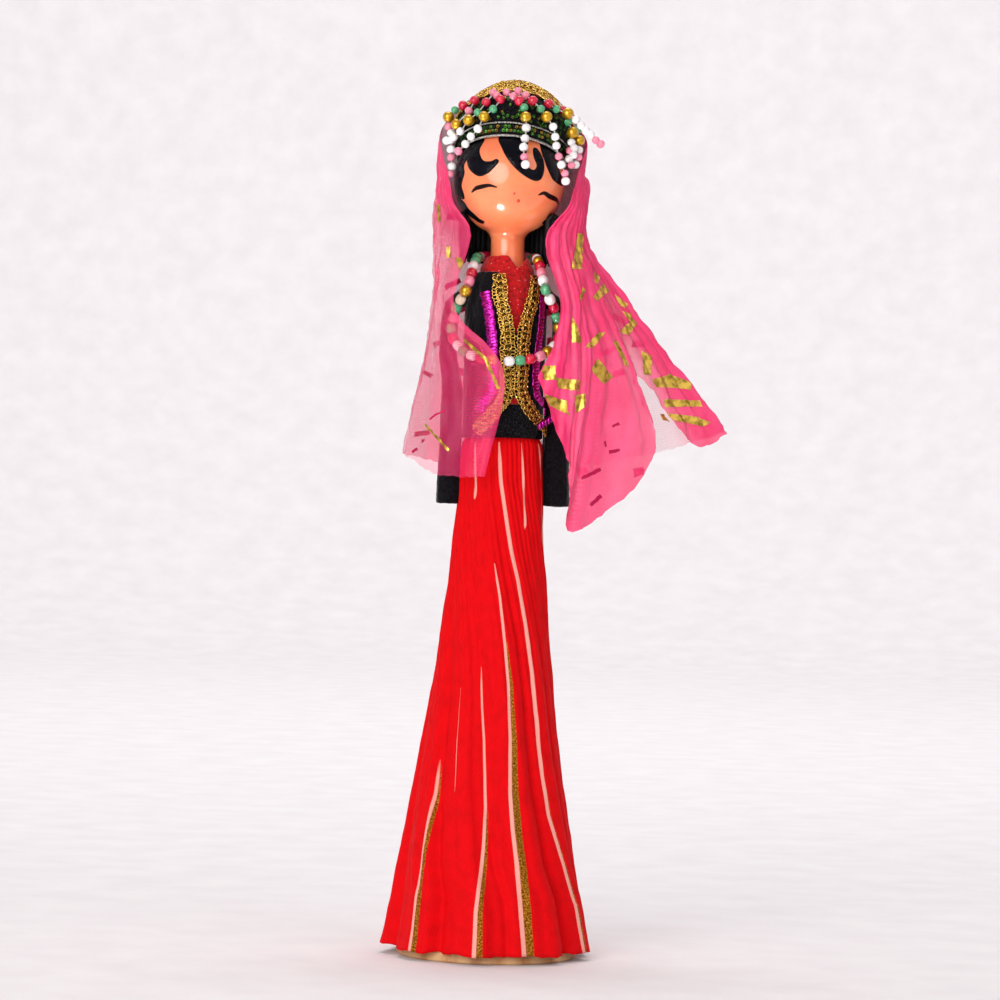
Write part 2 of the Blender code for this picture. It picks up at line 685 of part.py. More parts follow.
def veil_stations():
    """Columns of the veil's control net, from the left front edge round the back.

    Each column gives its angle round the cap from the front (left is negative), then (x, y, z)
    points at the cheek, neck, shoulder, elbow and hem, as shares of the head's radius from its
    centre.
    """
    return [
        (-79, (-1.02, -0.62, -0.42), (-0.66, -0.84, -1.05), (-0.90, -1.20, -2.35),
         (0.00, -1.22, -3.50), (-0.28, -1.14, -5.36)),
        (-88, (-1.22, -0.40, -0.36), (-1.14, -0.72, -1.00), (-1.24, -0.94, -2.30),
         (-1.06, -1.06, -3.60), (-1.10, -0.98, -5.34)),
        (-102, (-1.32, 0.10, -0.30), (-1.32, 0.00, -1.05), (-1.28, 0.10, -2.30),
         (-1.48, 0.00, -3.60), (-1.72, -0.06, -4.98)),
        (-138, (-1.02, 0.98, -0.40), (-0.98, 0.94, -1.10), (-1.02, 0.94, -2.30),
         (-1.18, 0.96, -3.60), (-1.38, 0.96, -5.05)),
        (-168, (-0.34, 1.42, -0.40), (-0.32, 1.34, -1.15), (-0.34, 1.24, -2.30),
         (-0.40, 1.26, -3.60), (-0.44, 1.30, -5.20)),
        (168, (0.34, 1.42, -0.40), (0.32, 1.34, -1.15), (0.36, 1.26, -2.30),
         (0.42, 1.30, -3.60), (0.50, 1.32, -5.25)),
        (138, (1.00, 1.02, -0.36), (0.98, 1.02, -1.10), (1.06, 1.00, -2.25),
         (1.28, 1.04, -3.55), (1.50, 1.10, -5.10)),
        (118, (1.26, 0.62, -0.20), (1.22, 0.62, -1.05), (1.62, 0.60, -2.15),
         (2.25, 0.62, -3.35), (2.70, 0.66, -4.82)),
        (106, (1.42, 0.24, 0.00), (1.39, 0.16, -1.00), (2.12, 0.16, -1.98),
         (3.18, 0.12, -3.35), (4.05, 0.10, -4.40)),
        (100, (1.40, 0.04, -0.10), (1.37, -0.06, -1.05), (1.96, -0.06, -2.10),
         (2.74, -0.16, -3.35), (3.36, -0.22, -4.64)),
        (95, (1.36, -0.10, -0.20), (1.33, -0.18, -1.10), (1.82, -0.24, -2.05),
         (2.20, -0.34, -2.80), (2.55, -0.42, -3.46)),
        (90, (1.31, -0.22, -0.25), (1.28, -0.32, -1.10), (1.66, -0.42, -2.15),
         (2.24, -0.48, -3.50), (2.68, -0.52, -4.94)),
        (85, (1.25, -0.34, -0.30), (1.16, -0.50, -1.10), (1.40, -0.68, -2.20),
         (1.62, -0.78, -3.60), (1.30, -0.86, -6.30)),
        (81, (1.18, -0.46, -0.36), (0.96, -0.66, -1.10), (1.24, -0.88, -2.20),
         (1.26, -0.96, -3.40), (1.16, -0.98, -5.05)),
        (77, (1.06, -0.58, -0.42), (0.66, -0.80, -1.10), (1.02, -1.06, -2.15),
         (0.90, -1.16, -2.90), (0.60, -1.16, -3.56)),
    ]


def veil_columns():
    """Control points of each column of the veil, from the crown down to the hem."""
    centre = Vector((0.0, 0.0, HEAD_Z))
    lift = GAP + CROWN_BAND_THICKNESS + VEIL_GAP
    columns = []
    for turn, *points in veil_stations():
        behind = math.radians(180 - abs(turn))
        column = []
        for height, narrow in ((0.99, 0.80), (0.93, 0.84), (0.72, 0.90), (0.42, 0.97), (0.12, 1.0)):
            angle = math.copysign(math.pi - behind * narrow, turn)
            column.append(cap_surface(angle, CAP_HEIGHT * height, lift))
        columns.append(column + [centre + Vector(point) * HEAD_RADIUS for point in points])
    return columns


def clear_of_cap(point, lift):
    """Push a point of the veil out from the cap's middle until it lies over the cap."""
    middle = cap_frame() @ Vector((0.0, 0.0, CAP_HEIGHT * 0.3))
    local = cap_frame().inverted() @ point
    if local.z < 0.0:
        return point
    turn = math.atan2(local.x, -local.y)
    out = (point - middle).normalized()
    steps = 40
    over = [cap_surface(turn, CAP_HEIGHT * i / steps, lift) - middle for i in range(steps)]
    nearest = max(over, key=lambda spot: spot.normalized().dot(out))
    return middle + out * max((point - middle).length, nearest.length)


def make_veil(home):
    """Sheer veil over the back of the cap, with one corner spread out to the right."""
    columns = veil_columns()
    lift = GAP + CROWN_BAND_THICKNESS + VEIL_GAP

    def place(u, v):
        rows = [blend_between([column[i] for column in columns], u) for i in range(len(columns[0]))]
        point = blend_between(rows, v)
        hang = max(0.0, v - 0.45) * math.sin(math.pi * u) ** 0.5
        fold = VEIL_FOLD_DEPTH * hang * (1.0 + math.sin(2 * math.pi * VEIL_FOLDS * u))
        point += Vector((point.x, point.y, 0.0)).normalized() * fold
        return clear_of_cap(point, lift)

    sheet("veil", VEIL_COLUMNS, VEIL_ROWS, place, home, "pink_organza", VEIL_CLOTH)


def main():
    """Build the doll."""
    clear_scene()
    parts = collection(COLLECTION_NAME)
    cutters = collection("cutters")
    make_figure(parts)
    make_skirt(parts)
    make_blouse(parts, cutters)
    make_waistband(parts)
    make_jacket(parts, cutters)
    make_braids(parts)
    make_hair(parts)
    make_cap(parts)
    make_crown_braid(parts)
    make_brim_cord(parts)
    make_strands(parts)
    make_necklace(parts)
    make_veil(parts)


main()
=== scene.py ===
"""Looks of a folk doll: a turned wooden figure dressed in cloth, braid, beads and a sheer veil.

Metres, +Z up. The origin is the centre of the foot's underside and the doll looks along -Y.
"""
import sys

import logging
import math
import random
from dataclasses import dataclass, field
from enum import Enum
from typing import Callable, Optional, Sequence

import bpy
import numpy as np
from mathutils import Matrix, Vector, noise
from mathutils.bvhtree import BVHTree
from mathutils.geometry import delaunay_2d_cdt


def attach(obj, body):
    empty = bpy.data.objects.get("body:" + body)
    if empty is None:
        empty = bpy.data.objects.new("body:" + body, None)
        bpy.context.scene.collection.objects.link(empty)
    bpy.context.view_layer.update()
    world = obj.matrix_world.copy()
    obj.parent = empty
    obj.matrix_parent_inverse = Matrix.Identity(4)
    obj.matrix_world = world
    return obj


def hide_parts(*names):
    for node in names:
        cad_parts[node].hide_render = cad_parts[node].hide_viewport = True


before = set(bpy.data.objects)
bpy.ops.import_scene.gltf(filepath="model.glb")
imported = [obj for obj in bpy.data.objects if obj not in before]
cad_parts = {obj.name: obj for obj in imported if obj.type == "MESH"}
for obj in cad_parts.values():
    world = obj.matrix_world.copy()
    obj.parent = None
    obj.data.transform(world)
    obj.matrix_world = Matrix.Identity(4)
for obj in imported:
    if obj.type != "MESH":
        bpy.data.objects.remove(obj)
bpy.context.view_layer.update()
MM = 0.001
GAP = 0.0003  # room between neighbouring pieces, as in the CAD
BAND = 0.31  # width of one band of the wave texture at scale one
LOG = logging.getLogger("doll")

Finish = bpy.types.Material
Socket = bpy.types.NodeSocket
Layer = Callable[[np.ndarray, np.ndarray, np.ndarray], np.ndarray]


class Slot(Enum):
    """Material slots of the record."""

    WOOD = "lacquered_wood"
    COTTON = "red_cotton"
    VELVET = "black_velvet"
    HAIR = "black_hair"
    GOLD = "gold_braid"
    MAGENTA = "magenta_braid"
    SILVER = "silver_cord"
    BEADS = "glass_beads"
    ORGANZA = "pink_organza"


class BeadColour(Enum):
    """Colours that the moulded beads come in, as sRGB hex."""

    RED = "#D4103C"
    PINK = "#F48CA6"
    GREEN = "#4FA676"
    GOLD = "#D9A514"
    WHITE = "#F6F1F2"
    CREAM = "#EFD9BE"


def linear(colour: str) -> tuple[float, float, float, float]:
    """Turn an sRGB hex colour to linear values.

    Args:
        colour: Colour such as "#D4103C".

    Returns:
        Red, green and blue in linear light, and an alpha of one.
    """
    parts = [int(colour[i:i + 2], 16) / 255 for i in (1, 3, 5)]
    light = [c / 12.92 if c <= 0.04045 else ((c + 0.055) / 1.055) ** 2.4 for c in parts]
    return (light[0], light[1], light[2], 1.0)


class Surface:
    """Material in the making, with its node tree and its Principled shader."""

    def __init__(self, name: str, **settings: object) -> None:
        """Start the material.

        Args:
            name: Its name.
            **settings: Values for the shader's sockets, with underscores for spaces.
        """
        self.made = bpy.data.materials.new(name)
        self.made.use_nodes = True
        self.tree = self.made.node_tree
        self.shader = self.tree.nodes["Principled BSDF"]
        for key, value in settings.items():
            self.shader.inputs[key.replace("_", " ")].default_value = value

    def add(self, kind: str, settings: Optional[dict] = None, links: Optional[dict] = None,
            out: int | str = 0, to: str = "", stops: Sequence[tuple[float, str]] = (),
            **fields: object) -> Socket:
        """Add a node with its settings and links.

        Args:
            kind: The node's type, after the word ShaderNode.
            settings: Values for its input sockets, by name or number.
            links: Sockets that feed its input sockets, by name or number.
            out: Its output, by name or number.
            to: Socket of the shader that the output feeds, if any.
            stops: Places from 0 to 1 of a colour ramp, with their sRGB hex colours.
            **fields: The node's own properties.

        Returns:
            The output socket.
        """
        node = self.tree.nodes.new(f"ShaderNode{kind}")
        for name, value in fields.items():
            setattr(node, name, value)
        for key, value in (settings or {}).items():
            node.inputs[key].default_value = value
        for key, socket in (links or {}).items():
            self.tree.links.new(socket, node.inputs[key])
        if stops:
            elements = node.color_ramp.elements
            elements.remove(elements[1])
            elements[0].position, elements[0].color = stops[0][0], linear(stops[0][1])
            for place, colour in stops[1:]:
                elements.new(place).color = linear(colour)
        if to:
            self.tree.links.new(node.outputs[out], self.shader.inputs[to])
        return node.outputs[out]

    def mottle(self, scale: float, detail: float, stops: Sequence[tuple[float, str]]) -> Socket:
        """Mottle the surface with two or more colours.

        Args:
            scale: Lumps per metre.
            detail: Octaves of finer lumps.
            stops: Places from 0 to 1 in the noise, with their sRGB hex colours.

        Returns:
            The noise, for a relief that goes with the colours.
        """
        place = self.add("TexCoord", out="Object")
        cloud = self.add("TexNoise", {"Scale": scale, "Detail": detail}, {"Vector": place}, "Fac")
        self.add("ValToRGB", links={"Fac": cloud}, to="Base Color", stops=stops)
        return cloud

    def shade(self, scale: float, colour: str, low: float, high: float) -> Socket:
        """Vary the brightness of one colour over the surface.

        Args:
            scale: Lumps per metre.
            colour: The sRGB hex colour.
            low: Least brightness, as a share of the colour's own.
            high: Greatest brightness.

        Returns:
            The noise, for a relief that goes with the colour.
        """
        place = self.add("TexCoord", out="Object")
        cloud = self.add("TexNoise", {"Scale": scale, "Detail": 2.0}, {"Vector": place}, "Fac")
        value = self.add("MapRange", {"To Min": low, "To Max": high}, {"Value": cloud})
        self.add("HueSaturation", {"Color": linear(colour)}, {"Value": value}, to="Base Color")
        return cloud

    def weave(self, cloth: Socket, thread_mm: float, distortion: float, operation: str) -> Socket:
        """Cross two sets of threads.

        Args:
            cloth: Place on the flat cloth, in millimetres.
            thread_mm: Spacing of the threads.
            distortion: Unevenness of the threads.
            operation: ADD where the sets lie tight, MAXIMUM where light passes between them.

        Returns:
            Height of the weave.
        """
        sets = [self.add("TexWave", {"Scale": BAND / thread_mm, "Distortion": distortion},
                         {"Vector": cloth}, "Fac", bands_direction=direction) for direction in "XY"]
        return self.add("Math", links=dict(enumerate(sets)), operation=operation)


def spline_weights(count: int, shares: np.ndarray) -> np.ndarray:
    """Weight of each control point on a smooth curve.

    Args:
        count: Number of control points.
        shares: Places along the curve, from 0 to 1.

    Returns:
        One row for each place, with one weight for each control point.
    """
    weights = np.zeros((len(shares), count))
    last = count - 1
    for row, share in enumerate(shares):
        spot = min(max(float(share), 0.0), 1.0) * last
        index = min(int(spot), last - 1)
        t = spot - index
        basis = (-t + 2 * t**2 - t**3, 2 - 5 * t**2 + 3 * t**3, t + 4 * t**2 - 3 * t**3, -t**2 + t**3)
        for at, part in zip(range(index - 1, index + 3), basis):
            if at < 0:
                weights[row, 0] += part
                weights[row, 1] -= part / 2
            elif at > last:
                weights[row, last] += part
                weights[row, last - 1] -= part / 2
            else:
                weights[row, at] += part / 2
    return weights


def smooth_path(points: Sequence[Sequence[float]], steps: int) -> np.ndarray:
    """Points at even lengths of a smooth curve through the given points.

    Args:
        points: Points that the curve passes.
        steps: Number of points to return.

    Returns:
        The points, one row each.
    """
    control = np.asarray(points, dtype=float)
    dense = spline_weights(len(control), np.linspace(0, 1, 600)) @ control
    run = run_along(dense)
    wanted = np.linspace(0, run[-1], steps)
    return np.stack([np.interp(wanted, run, dense[:, i]) for i in range(control.shape[1])], axis=1)


def run_along(points: np.ndarray) -> np.ndarray:
    """Length from the first of a row of points to each of them."""
    return np.concatenate([[0.0], np.cumsum(np.linalg.norm(np.diff(points, axis=0), axis=1))])


def path_length(points: np.ndarray) -> float:
    """Length of a row of points."""
    return float(np.linalg.norm(np.diff(points, axis=0), axis=1).sum())


def directions(points: np.ndarray) -> np.ndarray:
    """Unit direction of a path at each of its points."""
    ahead = np.gradient(points, axis=0)
    return ahead / np.linalg.norm(ahead, axis=1)[:, None]


def around(radius: float, turn: float, z: float) -> Vector:
    """Point at a distance from the upright axis, an angle from the front and a height."""
    return Vector((radius * math.sin(turn), -radius * math.cos(turn), z))


def lathe(profile: Sequence[tuple[float, float]], sides: int) -> np.ndarray:
    """Turn a profile round the upright axis.

    Args:
        profile: Radius and height of each of its points.
        sides: Number of points round the axis, from the front.

    Returns:
        One row of points for each point of the profile.
    """
    turn = 2 * math.pi * np.arange(sides) / sides
    return np.array([[(r * math.sin(a), -r * math.cos(a), z) for a in turn] for r, z in profile])


def ruffle(points: np.ndarray, size: float, seed: float) -> np.ndarray:
    """Soft noise at points.

    Args:
        points: Points, one row each.
        size: Size of the noise's lumps, in metres.
        seed: Offset that sets one noise apart from another.

    Returns:
        One value near -1 to 1 for each point.
    """
    flat = points.reshape(-1, 3) / size
    shift = Vector((seed, -seed, 2 * seed))
    values = [noise.fractal(Vector(p) + shift, 0.6, 2.0, 3) for p in flat]
    return np.array(values).reshape(points.shape[:-1])


class Mesher:
    """Gathers the points and faces of one piece, then makes its object."""

    def __init__(self) -> None:
        """Start with nothing."""
        self.points: list[np.ndarray] = []
        self.faces: list[tuple[int, ...]] = []
        self.finishes: list[int] = []
        self.count = 0

    def add(self, points: np.ndarray, faces: Sequence[Sequence[int]], finish: int = 0) -> None:
        """Add points and the faces between them.

        Args:
            points: Points, one row each.
            faces: Faces by the numbers of these points.
            finish: Number of the faces' material.
        """
        rows = np.asarray(points, dtype=float).reshape(-1, 3)
        self.points.append(rows)
        self.faces += [tuple(self.count + i for i in face) for face in faces]
        self.finishes += [finish] * len(faces)
        self.count += len(rows)

    def grid(self, net: np.ndarray, wrap: bool = False, ring: bool = False, finish: int = 0) -> None:
        """Add a grid of points.

        Args:
            net: Rows of points.
            wrap: Whether each row closes on itself.
            ring: Whether the last row joins the first.
            finish: Number of the faces' material.
        """
        rows, columns = net.shape[:2]
        faces = []
        for row in range(rows if ring else rows - 1):
            low, high = row * columns, (row + 1) % rows * columns
            for column in range(columns if wrap else columns - 1):
                after = (column + 1) % columns
                faces.append((low + column, low + after, high + after, high + column))
        self.add(net, faces, finish)

    def tube(self, path: np.ndarray, radius: float | np.ndarray, sides: int = 5,
             closed: bool = False, finish: int = 0) -> None:
        """Add a tube along a path.

        Args:
            path: Centre points, one row each.
            radius: Radius, or one for each point.
            sides: Number of sides.
            closed: Whether the path closes on itself.
            finish: Number of the faces' material.
        """
        ahead = np.roll(path, -1, 0) - np.roll(path, 1, 0) if closed else np.gradient(path, axis=0)
        ahead /= np.linalg.norm(ahead, axis=1)[:, None] + 1e-12
        normal = np.cross(ahead[0], (0.31, 0.59, 0.74))
        normals = []
        for direction in ahead:
            normal = normal - direction * normal.dot(direction)
            normal = normal / np.linalg.norm(normal)
            normals.append(normal)
        out = np.array(normals)
        across = np.cross(ahead, out)
        turn = 2 * math.pi * np.arange(sides) / sides
        reach = np.broadcast_to(np.asarray(radius, dtype=float), (len(path),))[:, None, None]
        circle = np.cos(turn)[None, :, None] * out[:, None] + np.sin(turn)[None, :, None] * across[:, None]
        self.grid(path[:, None] + reach * circle, wrap=True, ring=closed, finish=finish)
        if not closed:
            self.close_ends(len(path), sides, finish)

    def close_ends(self, rows: int, sides: int, finish: int) -> None:
        """Close both ends of the tube that was added last.

        Args:
            rows: Its number of rings.
            sides: Points in each ring.
            finish: Number of the faces' material.
        """
        start, end = self.count - rows * sides, self.count - sides
        self.faces.append(tuple(start + i for i in reversed(range(sides))))
        self.faces.append(tuple(end + i for i in range(sides)))
        self.finishes += [finish, finish]

    def bead(self, centre: Vector, axis: Vector, width: float, length: float, square: float,
             finish: int) -> None:
        """Add a bead with its hole.

        Args:
            centre: Its centre.
            axis: Direction of its hole.
            width: Its diameter.
            length: Its length along the hole.
            square: Two for a ball, more for a barrel.
            finish: Number of its material.
        """
        rings, hole = 9, 0.24
        ends = (1 - hole ** square) ** (1 / square)
        section = []
        for i in range(rings):
            along = -ends * math.cos(math.pi * i / (rings - 1))
            wide = max(hole, (1 - abs(along) ** square) ** (1 / square))
            section.append((wide * width / 2, along * length / 2))
        self.spin(centre, axis, section, 16, finish)

    def spin(self, centre: Vector, axis: Vector, section: Sequence[tuple[float, float]], sides: int,
             finish: int) -> None:
        """Add a small ring turned round an axis of its own.

        Args:
            centre: Its centre.
            axis: Direction of its axis.
            section: Radius and place along the axis of the points round its section.
            sides: Number of sides.
            finish: Number of its material.
        """
        turn = axis.to_track_quat("Z", "Y").to_matrix()
        net = [[tuple(centre + turn @ Vector((radius * math.cos(2 * math.pi * k / sides),
                                              radius * math.sin(2 * math.pi * k / sides), along)))
                for k in range(sides)] for radius, along in section]
        self.grid(np.array(net), wrap=True, ring=True, finish=finish)

    def piece(self, name: str, finishes: Sequence[Finish]) -> bpy.types.Object:
        """Make the object.

        Args:
            name: Its name.
            finishes: Its materials, in the order of their numbers.

        Returns:
            The object, linked to the scene.
        """
        data = bpy.data.meshes.new(name)
        data.from_pydata(np.concatenate(self.points).tolist(), [], self.faces)
        for finish in finishes:
            data.materials.append(finish)
        data.polygons.foreach_set("material_index", self.finishes)
        data.shade_smooth()
        data.update()
        made = bpy.data.objects.new(name, data)
        bpy.context.scene.collection.objects.link(made)
        return made


def thicken(piece: bpy.types.Object, thickness: float) -> None:
    """Give a sheet its thickness, inwards."""
    solid = piece.modifiers.new("Solidify", "SOLIDIFY")
    solid.thickness = thickness
    solid.offset = -1.0


def store(piece: bpy.types.Object, name: str, values: np.ndarray) -> None:
    """Store a value at each point of a piece, under a name that its material reads."""
    layer = piece.data.attributes.new(name, "FLOAT", "POINT")
    layer.data.foreach_set("value", values.ravel())


def settle(piece: bpy.types.Object, slot: Slot, *nodes: str) -> None:
    """Tie a piece to the doll and report it.

    Args:
        piece: The piece.
        slot: The record's material slot; not used.
        *nodes: Solids that it stands for.
    """
    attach(piece, "root")
    if nodes:
        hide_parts(*nodes)
    LOG.info("%s: %d faces", piece.name, len(piece.data.polygons))


@dataclass(frozen=True)
class SkinLacquer:
    """Alkyd lacquer, flesh orange, dipped over the turned beech of head and neck.

    Dipping leaves a hard gloss with a slow orange-peel wave and a little thicker colour low down.
    """

    colour: str = "#F07A4E"
    thin: str = "#F58E5E"
    peel_mm: float = 2.4

    def material(self) -> Finish:
        """Make the material."""
        surface = Surface("flesh_alkyd_lacquer", Roughness=0.16, IOR=1.5, Coat_Weight=0.5,
                          Coat_Roughness=0.06)
        surface.mottle(90.0, 3.0, [(0.35, self.colour), (0.68, self.thin)])
        place = surface.add("TexCoord", out="Object")
        peel = surface.add("TexNoise", {"Scale": 1 / (self.peel_mm * MM), "Detail": 2.0},
                           {"Vector": place}, "Fac")
        surface.add("Bump", {"Distance": 0.03 * MM, "Strength": 0.5}, {"Height": peel}, to="Normal")
        return surface.made


@dataclass(frozen=True)
class RawBeech:
    """Beech, turned and sanded but not sealed: pale tan with fine growth rings and short flecks."""

    pale: str = "#D9AE7C"
    dark: str = "#B98250"
    ring_mm: float = 1.4

    def material(self) -> Finish:
        """Make the material."""
        surface = Surface("turned_beech", Roughness=0.62, IOR=1.5)
        place = surface.add("TexCoord", out="Object")
        rings = surface.add("TexWave", {"Scale": BAND / (self.ring_mm * MM) / 6, "Distortion": 3.0,
                                        "Detail": 2.0}, {"Vector": place}, "Fac")
        upright = surface.add("Mapping", {"Scale": (900.0, 900.0, 160.0)}, {"Vector": place})
        fleck = surface.add("TexNoise", {"Scale": 1.0, "Detail": 2.0}, {"Vector": upright}, "Fac")
        grain = surface.add("Math", links={0: rings, 1: fleck}, operation="MULTIPLY")
        surface.add("ValToRGB", links={"Fac": grain}, to="Base Color",
                    stops=[(0.05, self.pale), (0.6, self.dark)])
        surface.add("Bump", {"Distance": 0.05 * MM, "Strength": 0.5}, {"Height": fleck}, to="Normal")
        return surface.made


@dataclass(frozen=True)
class BrushEnamel:
    """Enamel paint laid on with a fine brush, which leaves faint ridges along the strokes."""

    name: str
    colour: str
    roughness: float = 0.22
    stroke_mm: float = 0.5

    def material(self) -> Finish:
        """Make the material."""
        surface = Surface(self.name, Roughness=self.roughness, Specular_IOR_Level=0.12)
        surface.shade(300.0, self.colour, 0.75, 1.3)
        place = surface.add("TexCoord", out="Object")
        stroke = surface.add("TexWave", {"Scale": BAND / (self.stroke_mm * MM) / 2, "Distortion": 6.0},
                             {"Vector": place}, "Fac")
        surface.add("Bump", {"Distance": 0.02 * MM, "Strength": 0.4}, {"Height": stroke}, to="Normal")
        return surface.made


@dataclass(frozen=True)
class StripedCotton:
    """Plain-woven cotton, dyed red, with woven-in lines of pale pink and of gold lurex.

    The weave scatters light, so folds stay matte; the lurex's glints are painted into its colour
    as short bright and dark dashes, painted highlights and painted shade. The thread spacing is
    drawn coarser than the real quarter of a millimetre, which would not show.
    """

    red: str = "#E0000A"
    deep: str = "#D20008"
    pink: str = "#F2A79A"
    gold: str = "#A8741C"
    gold_painted_shade: str = "#6A3206"
    gold_painted_glint: str = "#DDA54A"
    thread_mm: float = 0.6
    edge_mm: float = 0.12

    def material(self) -> Finish:
        """Make the material."""
        surface = Surface("striped_cotton", Roughness=0.8, Specular_IOR_Level=0.12)
        cloth = surface.add("UVMap", uv_map="cloth")
        cloud = surface.add("TexNoise", {"Scale": 0.16, "Detail": 4.0}, {"Vector": cloth}, "Fac")
        colour = surface.add("ValToRGB", links={"Fac": cloud}, stops=[(0.3, self.deep), (0.55, self.red)])
        # The lurex is painted in short dashes from painted shade through gold to painted highlight.
        lurex = surface.add("TexNoise", {"Scale": 1.6, "Detail": 3.0}, {"Vector": cloth}, "Fac")
        painted_lurex_glint = surface.add("ValToRGB", links={"Fac": lurex},
                           stops=[(0.35, self.gold_painted_shade), (0.5, self.gold), (0.68, self.gold_painted_glint)])
        for layer, paint in (("gold_mm", {7: painted_lurex_glint}), ("pink_mm", {})):
            distance = surface.add("Attribute", out="Fac", attribute_name=layer)
            mask = surface.add("MapRange", {"From Min": -self.edge_mm, "From Max": self.edge_mm,
                                            "To Min": 1.0, "To Max": 0.0}, {"Value": distance},
                               to="Metallic" if paint else "")
            colour = surface.add("Mix", {7: linear(self.pink)}, {0: mask, 6: colour} | paint, 2,
                                 "" if paint else "Base Color", data_type="RGBA")
        weave = surface.weave(cloth, self.thread_mm, 0.4, "ADD")
        surface.add("Bump", {"Distance": 0.05 * MM, "Strength": 0.5}, {"Height": weave}, to="Normal")
        return surface.made


@dataclass(frozen=True)
class PlainCotton:
    """Red cotton with slubs of pink thread, which show as small pale flecks."""

    red: str = "#C4060F"
    deep: str = "#7E0008"
    fleck: str = "#F0A0A8"

    def material(self) -> Finish:
        """Make the material."""
        surface = Surface("red_cotton", Roughness=0.75, Specular_IOR_Level=0.25, Sheen_Weight=0.15)
        slub = surface.mottle(900.0, 3.0, [(0.3, self.deep), (0.5, self.red), (0.66, self.red),
                                           (0.72, self.fleck)])
        surface.add("Bump", {"Distance": 0.1 * MM, "Strength": 0.6}, {"Height": slub}, to="Normal")
        return surface.made


@dataclass(frozen=True)
class Pile:
    """Black pile fabric: cut velvet or brushed felt, which swallows light and pales at its edges."""

    name: str
    dark: str = "#08080B"
    pale: str = "#1C1B22"
    sheen: float = 0.35
    lump_mm: float = 0.9

    def material(self) -> Finish:
        """Make the material."""
        surface = Surface(self.name, Roughness=0.95, Specular_IOR_Level=0.1, Sheen_Weight=self.sheen,
                          Sheen_Roughness=0.35)
        nap = surface.mottle(1 / (self.lump_mm * MM), 5.0, [(0.35, self.dark), (0.75, self.pale)])
        surface.add("Bump", {"Distance": 0.15 * MM, "Strength": 0.8}, {"Height": nap}, to="Normal")
        return surface.made


@dataclass(frozen=True)
class NylonHair:
    """Black nylon doll's hair: smooth fibres that shine in one long band."""

    colour: str = "#07070A"
    light: str = "#0F1016"

    def material(self) -> Finish:
        """Make the material."""
        surface = Surface("black_nylon_hair", Roughness=0.5, IOR=1.53, Specular_IOR_Level=0.2,
                          Anisotropic=0.6)
        cloud = surface.mottle(700.0, 3.0, [(0.3, self.colour), (0.8, self.light)])
        surface.add("Bump", {"Distance": 0.04 * MM, "Strength": 0.4}, {"Height": cloud}, to="Normal")
        return surface.made


@dataclass(frozen=True)
class MetallisedThread:
    """Polyester film with an aluminium coat, slit and twisted round a core thread.

    Its colour is painted in short bright and dark dashes along the thread: painted highlights
    and painted shade that stand in for the twist breaking up the reflection.
    """

    name: str
    bright: str
    dark: str
    roughness: float = 0.3
    painted_glint_dash_mm: float = 0.45

    def material(self) -> Finish:
        """Make the material."""
        surface = Surface(self.name, Roughness=self.roughness, Metallic=1.0)
        # Painted highlight and painted shade: noise dashes between the bright and dark colours, which also
        # give the relief.
        painted_glint_dash = surface.mottle(1 / (self.painted_glint_dash_mm * MM), 2.0, [(0.38, self.dark), (0.6, self.bright)])
        surface.add("Bump", {"Distance": 0.08 * MM, "Strength": 0.7}, {"Height": painted_glint_dash}, to="Normal")
        return surface.made


@dataclass(frozen=True)
class MouldedBead:
    """Bead moulded in polystyrene and tumbled: pearly gloss with faint flow marks.

    The gold ones have a metallised coat under a clear varnish.
    """

    colour: BeadColour

    def material(self) -> Finish:
        """Make the material."""
        metal = self.colour is BeadColour.GOLD
        surface = Surface(f"{self.colour.name.lower()}_polystyrene_bead", Coat_Weight=0.6,
                          Coat_Roughness=0.08, Roughness=0.3 if metal else 0.24,
                          Metallic=0.75 if metal else 0.0, Subsurface_Weight=0.0 if metal else 0.15,
                          Subsurface_Scale=0.8 * MM)
        flow = surface.shade(450.0, self.colour.value, 0.82, 1.12)
        surface.add("Bump", {"Distance": 0.05 * MM, "Strength": 0.3}, {"Height": flow}, to="Normal")
        return surface.made


@dataclass(frozen=True)
class SewingThread:
    """White polyester sewing thread that the beads are strung on.

    The grey between its plies is painted shade.
    """

    colour: str = "#E9E2E2"
    between: str = "#B8AEB0"

    def material(self) -> Finish:
        """Make the material."""
        surface = Surface("white_polyester_thread", Roughness=0.6)
        # White mottled with grey: painted shade between the plies.
        surface.mottle(2500.0, 2.0, [(0.3, self.between), (0.7, self.colour)])
        return surface.made


@dataclass(frozen=True)
class Sequin:
    """Sequin stamped from dyed polyester film: mirror-like, with a slight dish."""

    name: str
    colour: str

    def material(self) -> Finish:
        """Make the material."""
        surface = Surface(self.name, Roughness=0.2, Metallic=0.9)
        wave = surface.shade(800.0, self.colour, 0.5, 1.7)
        surface.add("Bump", {"Distance": 0.05 * MM, "Strength": 0.5}, {"Height": wave}, to="Normal")
        return surface.made


